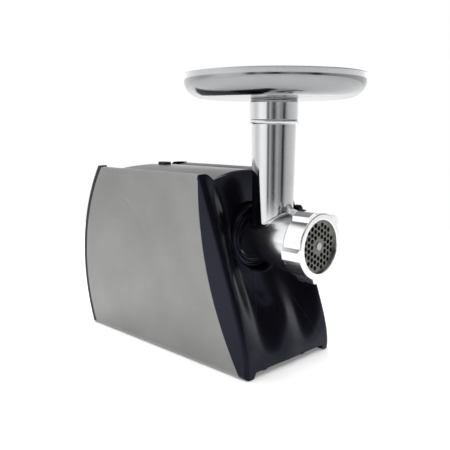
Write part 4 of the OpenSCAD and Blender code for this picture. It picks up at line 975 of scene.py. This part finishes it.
def makeTray():
    t = tray
    rim = (trayHigh.x - trayLow.x) / 2 / mm
    flat, bend = rim - t["edge"], t["round"]
    turns = [90 * i / t["curve"] for i in range(t["curve"] + 1)]
    outer = [(flat + t["edge"] * sine(a), t["bottom"] + bend * (1 - cosine(a))) for a in turns]
    inner = [(flat + (t["edge"] - t["thick"]) * sine(a),
              t["bottom"] + t["thick"] + (bend - t["thick"]) * (1 - cosine(a))) for a in turns[::-1]]
    top = t["bottom"] + t["high"]
    outer.append((rim, top - t["bead"]))
    inner = [(rim - 2 * t["bead"], top - t["bead"]), (rim - 2 * t["bead"], top - 3),
             (rim - t["thick"], top - 3.6)] + inner
    bead = [(rim - t["bead"] + t["bead"] * cosine(a), top - t["bead"] + t["bead"] * sine(a))
            for a in range(15, 180, 15)]
    seat, spout = t["seat"], t["spout"]
    neck = softened([
        (spout - t["thick"], seat - t["spoutLong"]), (spout, seat - t["spoutLong"], 0.3), (spout, seat, 0.3),
        (spout + 2.2, seat, 0.5), (spout + 2.5, seat + 1.1, 0.5), (spout + 1.5, seat + 1.7, 0.3),
        (spout + 1.6, seat + 2.6, 0.3), (spout + 2.6, t["bottom"], 1.2)])
    mouth = softened([(spout + 1.4, t["bottom"] + t["thick"], 0.6),
                      (spout - t["thick"], t["bottom"] - 1.2, 1.0), (spout - t["thick"], t["bottom"] - 3)])
    outline = neck + outer + bead + inner + mouth
    piece = newPiece("trayDish", *revolved(outline, t["steps"], aboutTube), "spunAluminium", "tray",
                     "polished_aluminium", ["tray"], 50)
    # the faces that look inward or upward get the paler satin aluminium: painted light, a lit copy of the
    # darker spun aluminium outside, so the dish reads lighter from above
    piece.data.materials.append(finishes["satinAluminium"])
    for face in piece.data.polygons:
        outward = Vector((face.center.x, face.center.y - tubeY, 0))
        paintedLitFaces = face.normal.dot(outward.normalized()) < -0.2 or face.normal.z > 0.3
        if paintedLitFaces and face.center.z > t["bottom"] * mm:
            face.material_index = 1


makeTray()
print("tray made")


# ring nut

nut = {"radius": 35.2, "back": 44.3, "front": 66.9, "bore": 33.1, "open": 28, "lip": 3.4,
       "lugs": 5, "lugFirst": 45, "lugWide": 14, "lugTop": 9, "lugRise": 3.95, "lugBack": 45.6, "steps": 192}


def makeNut():
    n = nut
    shell = softened([
        (n["bore"], n["back"], 0.4), (n["radius"], n["back"], 0.9), (n["radius"], n["front"], 2.0),
        (n["open"] + 0.2, n["front"], 0.9), (n["open"], n["front"] - n["lip"], 0.4),
        (n["bore"], n["front"] - n["lip"], 0.2)])
    piece = newPiece("ringNut", *revolved(shell, n["steps"], aboutBarrel), "turnedAluminium", "ring_nut",
                     "satin_cast", ["ring_nut"], 32)
    for i in range(n["lugs"]):
        angle = n["lugFirst"] + 360 * i / n["lugs"]
        low, high = n["radius"] - 1.2, n["radius"] + n["lugRise"]
        profile = [(low, -n["lugWide"] / 2 - 0.6), (high, -n["lugTop"] / 2), (high, n["lugTop"] / 2),
                   (low, n["lugWide"] / 2 + 0.6)]

        def spin(a, b, c):
            return (a * cosine(angle) - b * sine(angle), -c, barrelZ + a * sine(angle) + b * cosine(angle))
        points, faces = prism(profile, spin, n["lugBack"], n["front"] - 0.6)
        combine(piece, scratch(points, faces), "UNION", 32)
    roundEdges(piece, 0.9, 3, 32)


makeNut()
print("ring nut made")


for piece in madePieces:
    evenShading(piece)
print("shading evened")


# CAD nodes that keep their shape

kept = {
    "innerDark": ["base_plate", "left_side_shell", "right_side_shell", "switch_block", "overload_breaker",
                  "motor_cradle", "gearbox_housing", "gearbox_cover"],
    "redPlastic": ["reset_button"],
    "zincSteel": ["base_screws", "rear_cover_screws", "gearbox_screws", "lock_bolt"],
    "nylon": ["low_gear", "mid_gear", "output_gear", "cooling_fan", "thrust_washer"],
    "groundSteel": ["low_gear_pin", "mid_gear_pin", "output_shaft", "motor_shaft", "motor_pinion",
                    "front_bearing", "rear_bearing", "auger_shank", "plate_key", "knife"],
    "bronze": ["output_bush", "output_rear_bush", "brush_holders"],
    "lamination": ["motor_stator", "rotor_core"],
    "copper": ["field_coils", "rotor_winding", "commutator"],
    "carbon": ["carbon_brushes"],
    "castAluminium": ["rear_bracket", "auger"],
    "board": ["control_board"],
    "plateSteel": ["cutting_plate"],
}
edgeRound = {"cutting_plate": 0.25, "knife": 0.3, "auger": 0.4, "reset_button": 0.5, "base_plate": 0.4,
             "rear_cover_screws": 0.3, "base_screws": 0.3, "auger_shank": 0.4}
for finishName, nodes in kept.items():
    for nodeName in nodes:
        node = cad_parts[nodeName]
        node.data.materials.clear()
        node.data.materials.append(finishes[finishName])
        if nodeName in edgeRound:
            weld = node.modifiers.new("weld", "WELD")
            weld.merge_threshold = 0.002 * mm
            roundEdges(node, edgeRound[nodeName], 2, 40)
print("CAD nodes finished")


# floor, light and camera

studio = {
    "floorRadius": 1.0, "floorTone": (0.9, 0.9, 0.9), "floorGlow": 0.2,
    # brightness of the room, by degrees to the right of the camera's own side
    "lowWalls": [(-180, 1.0), (-145, 1.3), (-121, 1.2), (-105, 1.0), (-90, 1.07), (-78, 1.4), (-66, 1.5),
                 (-44, 1.3), (-39, 0.8), (-35, 0.2), (-30, 0.2), (-24, 0.6), (-20, 0.55), (-15, 0.29),
                 (-5, 0.08), (0, 0.1), (5, 0.34), (15, 0.58), (25, 0.39), (35, 0.33), (42, 0.04), (48, 0.04),
                 (56, 0.41), (69, 0.66), (96, 0.84), (112, 0.91), (150, 1.1)],
    "highWalls": [(-180, 0.9), (-130, 1.3), (-84, 1.5), (-60, 1.0), (-42, 0.35), (-20, 0.06), (60, 0.03),
                  (112, 0.04), (128, 0.5), (160, 0.8)],
    # the pale skirting below the low walls, the strip above them and the ceiling
    "skirt": 1.4, "strip": 2.1, "overhead": 1.1, "brightest": 3.0,
}
view = {"place": (-0.50748, -0.51984, 0.26127), "yaw": 45.12, "pitch": 9.19, "roll": -0.09, "lens": 48.355}


def makeFloor():
    steps = 128
    r = studio["floorRadius"]
    points = [Vector((r * cosine(360 * i / steps), r * sine(360 * i / steps), 0)) for i in range(steps)]
    mesh = bpy.data.meshes.new("floor")
    mesh.from_pydata(points, [], [list(range(steps))])
    floor = bpy.data.objects.new("floor", mesh)
    bpy.context.scene.collection.objects.link(floor)
    paper = bpy.data.materials.new("paper")
    paper.use_nodes = True
    shader = paper.node_tree.nodes["Principled BSDF"]
    shader.inputs["Base Color"].default_value = (*studio["floorTone"], 1)
    shader.inputs["Roughness"].default_value = 0.8
    shader.inputs["Specular IOR Level"].default_value = 0.1
    shader.inputs["Emission Color"].default_value = (1, 1, 1, 1)
    shader.inputs["Emission Strength"].default_value = studio["floorGlow"]
    mesh.materials.append(paper)


def wallRing(tree, stops, share, x, y):
    # one band of the room's walls, brighter and darker round the horizon
    ring = newNode(tree, "ShaderNodeValToRGB", x, y)
    elements = ring.color_ramp.elements
    stops = stops + [(180, stops[0][1])]
    tones = []
    for i, (degrees, bright) in enumerate(stops):
        tone = bright / studio["brightest"]
        place = degrees / 360 + 0.5
        if 0 < i < len(stops) - 1:
            elements.new(place)
        tones.append((place, tone))
    for element, (place, tone) in zip(elements, tones):
        element.position = place
        element.color = (tone, tone, tone, 1)
    tree.links.new(share, ring.inputs["Fac"])
    return ring.outputs["Color"]


def makeRoom():
    # a pale room; what polished metal mirrors is a ring of light and dark walls
    world = bpy.data.worlds.new("room")
    bpy.context.scene.world = world
    world.use_nodes = True
    tree = world.node_tree
    tree.nodes.clear()
    where = newNode(tree, "ShaderNodeTexCoord", -1400, 0)
    parts = newNode(tree, "ShaderNodeSeparateXYZ", -1200, 0)
    tree.links.new(where.outputs["Generated"], parts.inputs[0])
    turn = newNode(tree, "ShaderNodeMath", -1000, 100, operation="ARCTAN2")
    tree.links.new(parts.outputs["Y"], turn.inputs[0])
    tree.links.new(parts.outputs["X"], turn.inputs[1])
    toCamera = math.degrees(math.atan2(-cosine(view["yaw"]), -sine(view["yaw"])))
    share = newNode(tree, "ShaderNodeMath", -800, 100, operation="MULTIPLY_ADD")
    share.inputs[1].default_value = 1 / (2 * math.pi)
    share.inputs[2].default_value = -toCamera / 360 + 0.5
    tree.links.new(turn.outputs[0], share.inputs[0])
    wrap = newNode(tree, "ShaderNodeMath", -600, 100, operation="FRACT")
    tree.links.new(share.outputs[0], wrap.inputs[0])
    low = wallRing(tree, studio["lowWalls"], wrap.outputs[0], -400, 300)
    high = wallRing(tree, studio["highWalls"], wrap.outputs[0], -400, 0)

    def heightBlend(start, end, y):
        # rises from 0 to 1 between two heights of the view's direction
        blend = newNode(tree, "ShaderNodeMapRange", -400, y, interpolation_type="SMOOTHSTEP")
        blend.inputs["From Min"].default_value = start
        blend.inputs["From Max"].default_value = end
        tree.links.new(parts.outputs["Z"], blend.inputs["Value"])
        return blend.outputs["Result"]

    def mixed(factor, first, second, x):
        mix = newNode(tree, "ShaderNodeMix", x, 100, data_type="RGBA")
        tree.links.new(factor, mix.inputs["Factor"])
        tree.links.new(first, mix.inputs[6])
        if isinstance(second, float):
            mix.inputs[7].default_value = (second, second, second, 1)
        else:
            tree.links.new(second, mix.inputs[7])
        return mix.outputs[2]
    skirt = mixed(heightBlend(-0.155, -0.19, -200), low, studio["skirt"] / studio["brightest"], -200)
    lower = mixed(heightBlend(0.045, 0.06, -250), skirt, studio["strip"] / studio["brightest"], -150)
    walls = mixed(heightBlend(0.1, 0.14, -400), lower, high, -50)
    whole = mixed(heightBlend(0.55, 0.85, -600), walls, studio["overhead"] / studio["brightest"], 50)
    mirrored = newNode(tree, "ShaderNodeBackground", 250, 100, Strength=studio["brightest"])
    tree.links.new(whole, mirrored.inputs["Color"])
    seen = newNode(tree, "ShaderNodeBackground", 250, -100, Color=(1, 1, 1, 1), Strength=1.0)
    path = newNode(tree, "ShaderNodeLightPath", 250, 400)
    choose = newNode(tree, "ShaderNodeMixShader", 450, 100)
    tree.links.new(path.outputs["Is Camera Ray"], choose.inputs[0])
    tree.links.new(mirrored.outputs[0], choose.inputs[1])
    tree.links.new(seen.outputs[0], choose.inputs[2])
    out = newNode(tree, "ShaderNodeOutputWorld", 650, 100)
    tree.links.new(choose.outputs[0], out.inputs["Surface"])


lamps = {
    "keyLamp": {"place": (-1.2, -0.9, 1.6), "size": (1.4, 1.4), "power": 10},
    "topLamp": {"place": (0.1, 0.2, 2.0), "size": (2.2, 2.2), "power": 26},
    "rimLamp": {"place": (1.5, 0.6, 1.2), "size": (1.0, 1.6), "power": 6},
}


def makeLamps():
    aim = Vector((0, 0, 0.15))
    for name, lamp in lamps.items():
        data = bpy.data.lights.new(name, "AREA")
        data.shape = "RECTANGLE"
        data.size, data.size_y = lamp["size"]
        data.energy = lamp["power"]
        light = bpy.data.objects.new(name, data)
        light.location = lamp["place"]
        light.rotation_mode = "QUATERNION"
        light.rotation_quaternion = (aim - light.location).to_track_quat("-Z", "Y")
        light.visible_glossy = False
        bpy.context.scene.collection.objects.link(light)


def makeCamera():
    data = bpy.data.cameras.new("camera")
    data.lens = view["lens"]
    data.sensor_width = 36
    data.clip_start, data.clip_end = 0.01, 50
    camera = bpy.data.objects.new("camera", data)
    camera.location = view["place"]
    camera.rotation_euler = [math.radians(a) for a in (90 - view["pitch"], view["roll"], -view["yaw"])]
    bpy.context.scene.collection.objects.link(camera)
    bpy.context.scene.camera = camera
    bpy.context.scene.view_settings.view_transform = "Standard"


makeFloor()
makeRoom()
makeLamps()
makeCamera()
print("studio made")
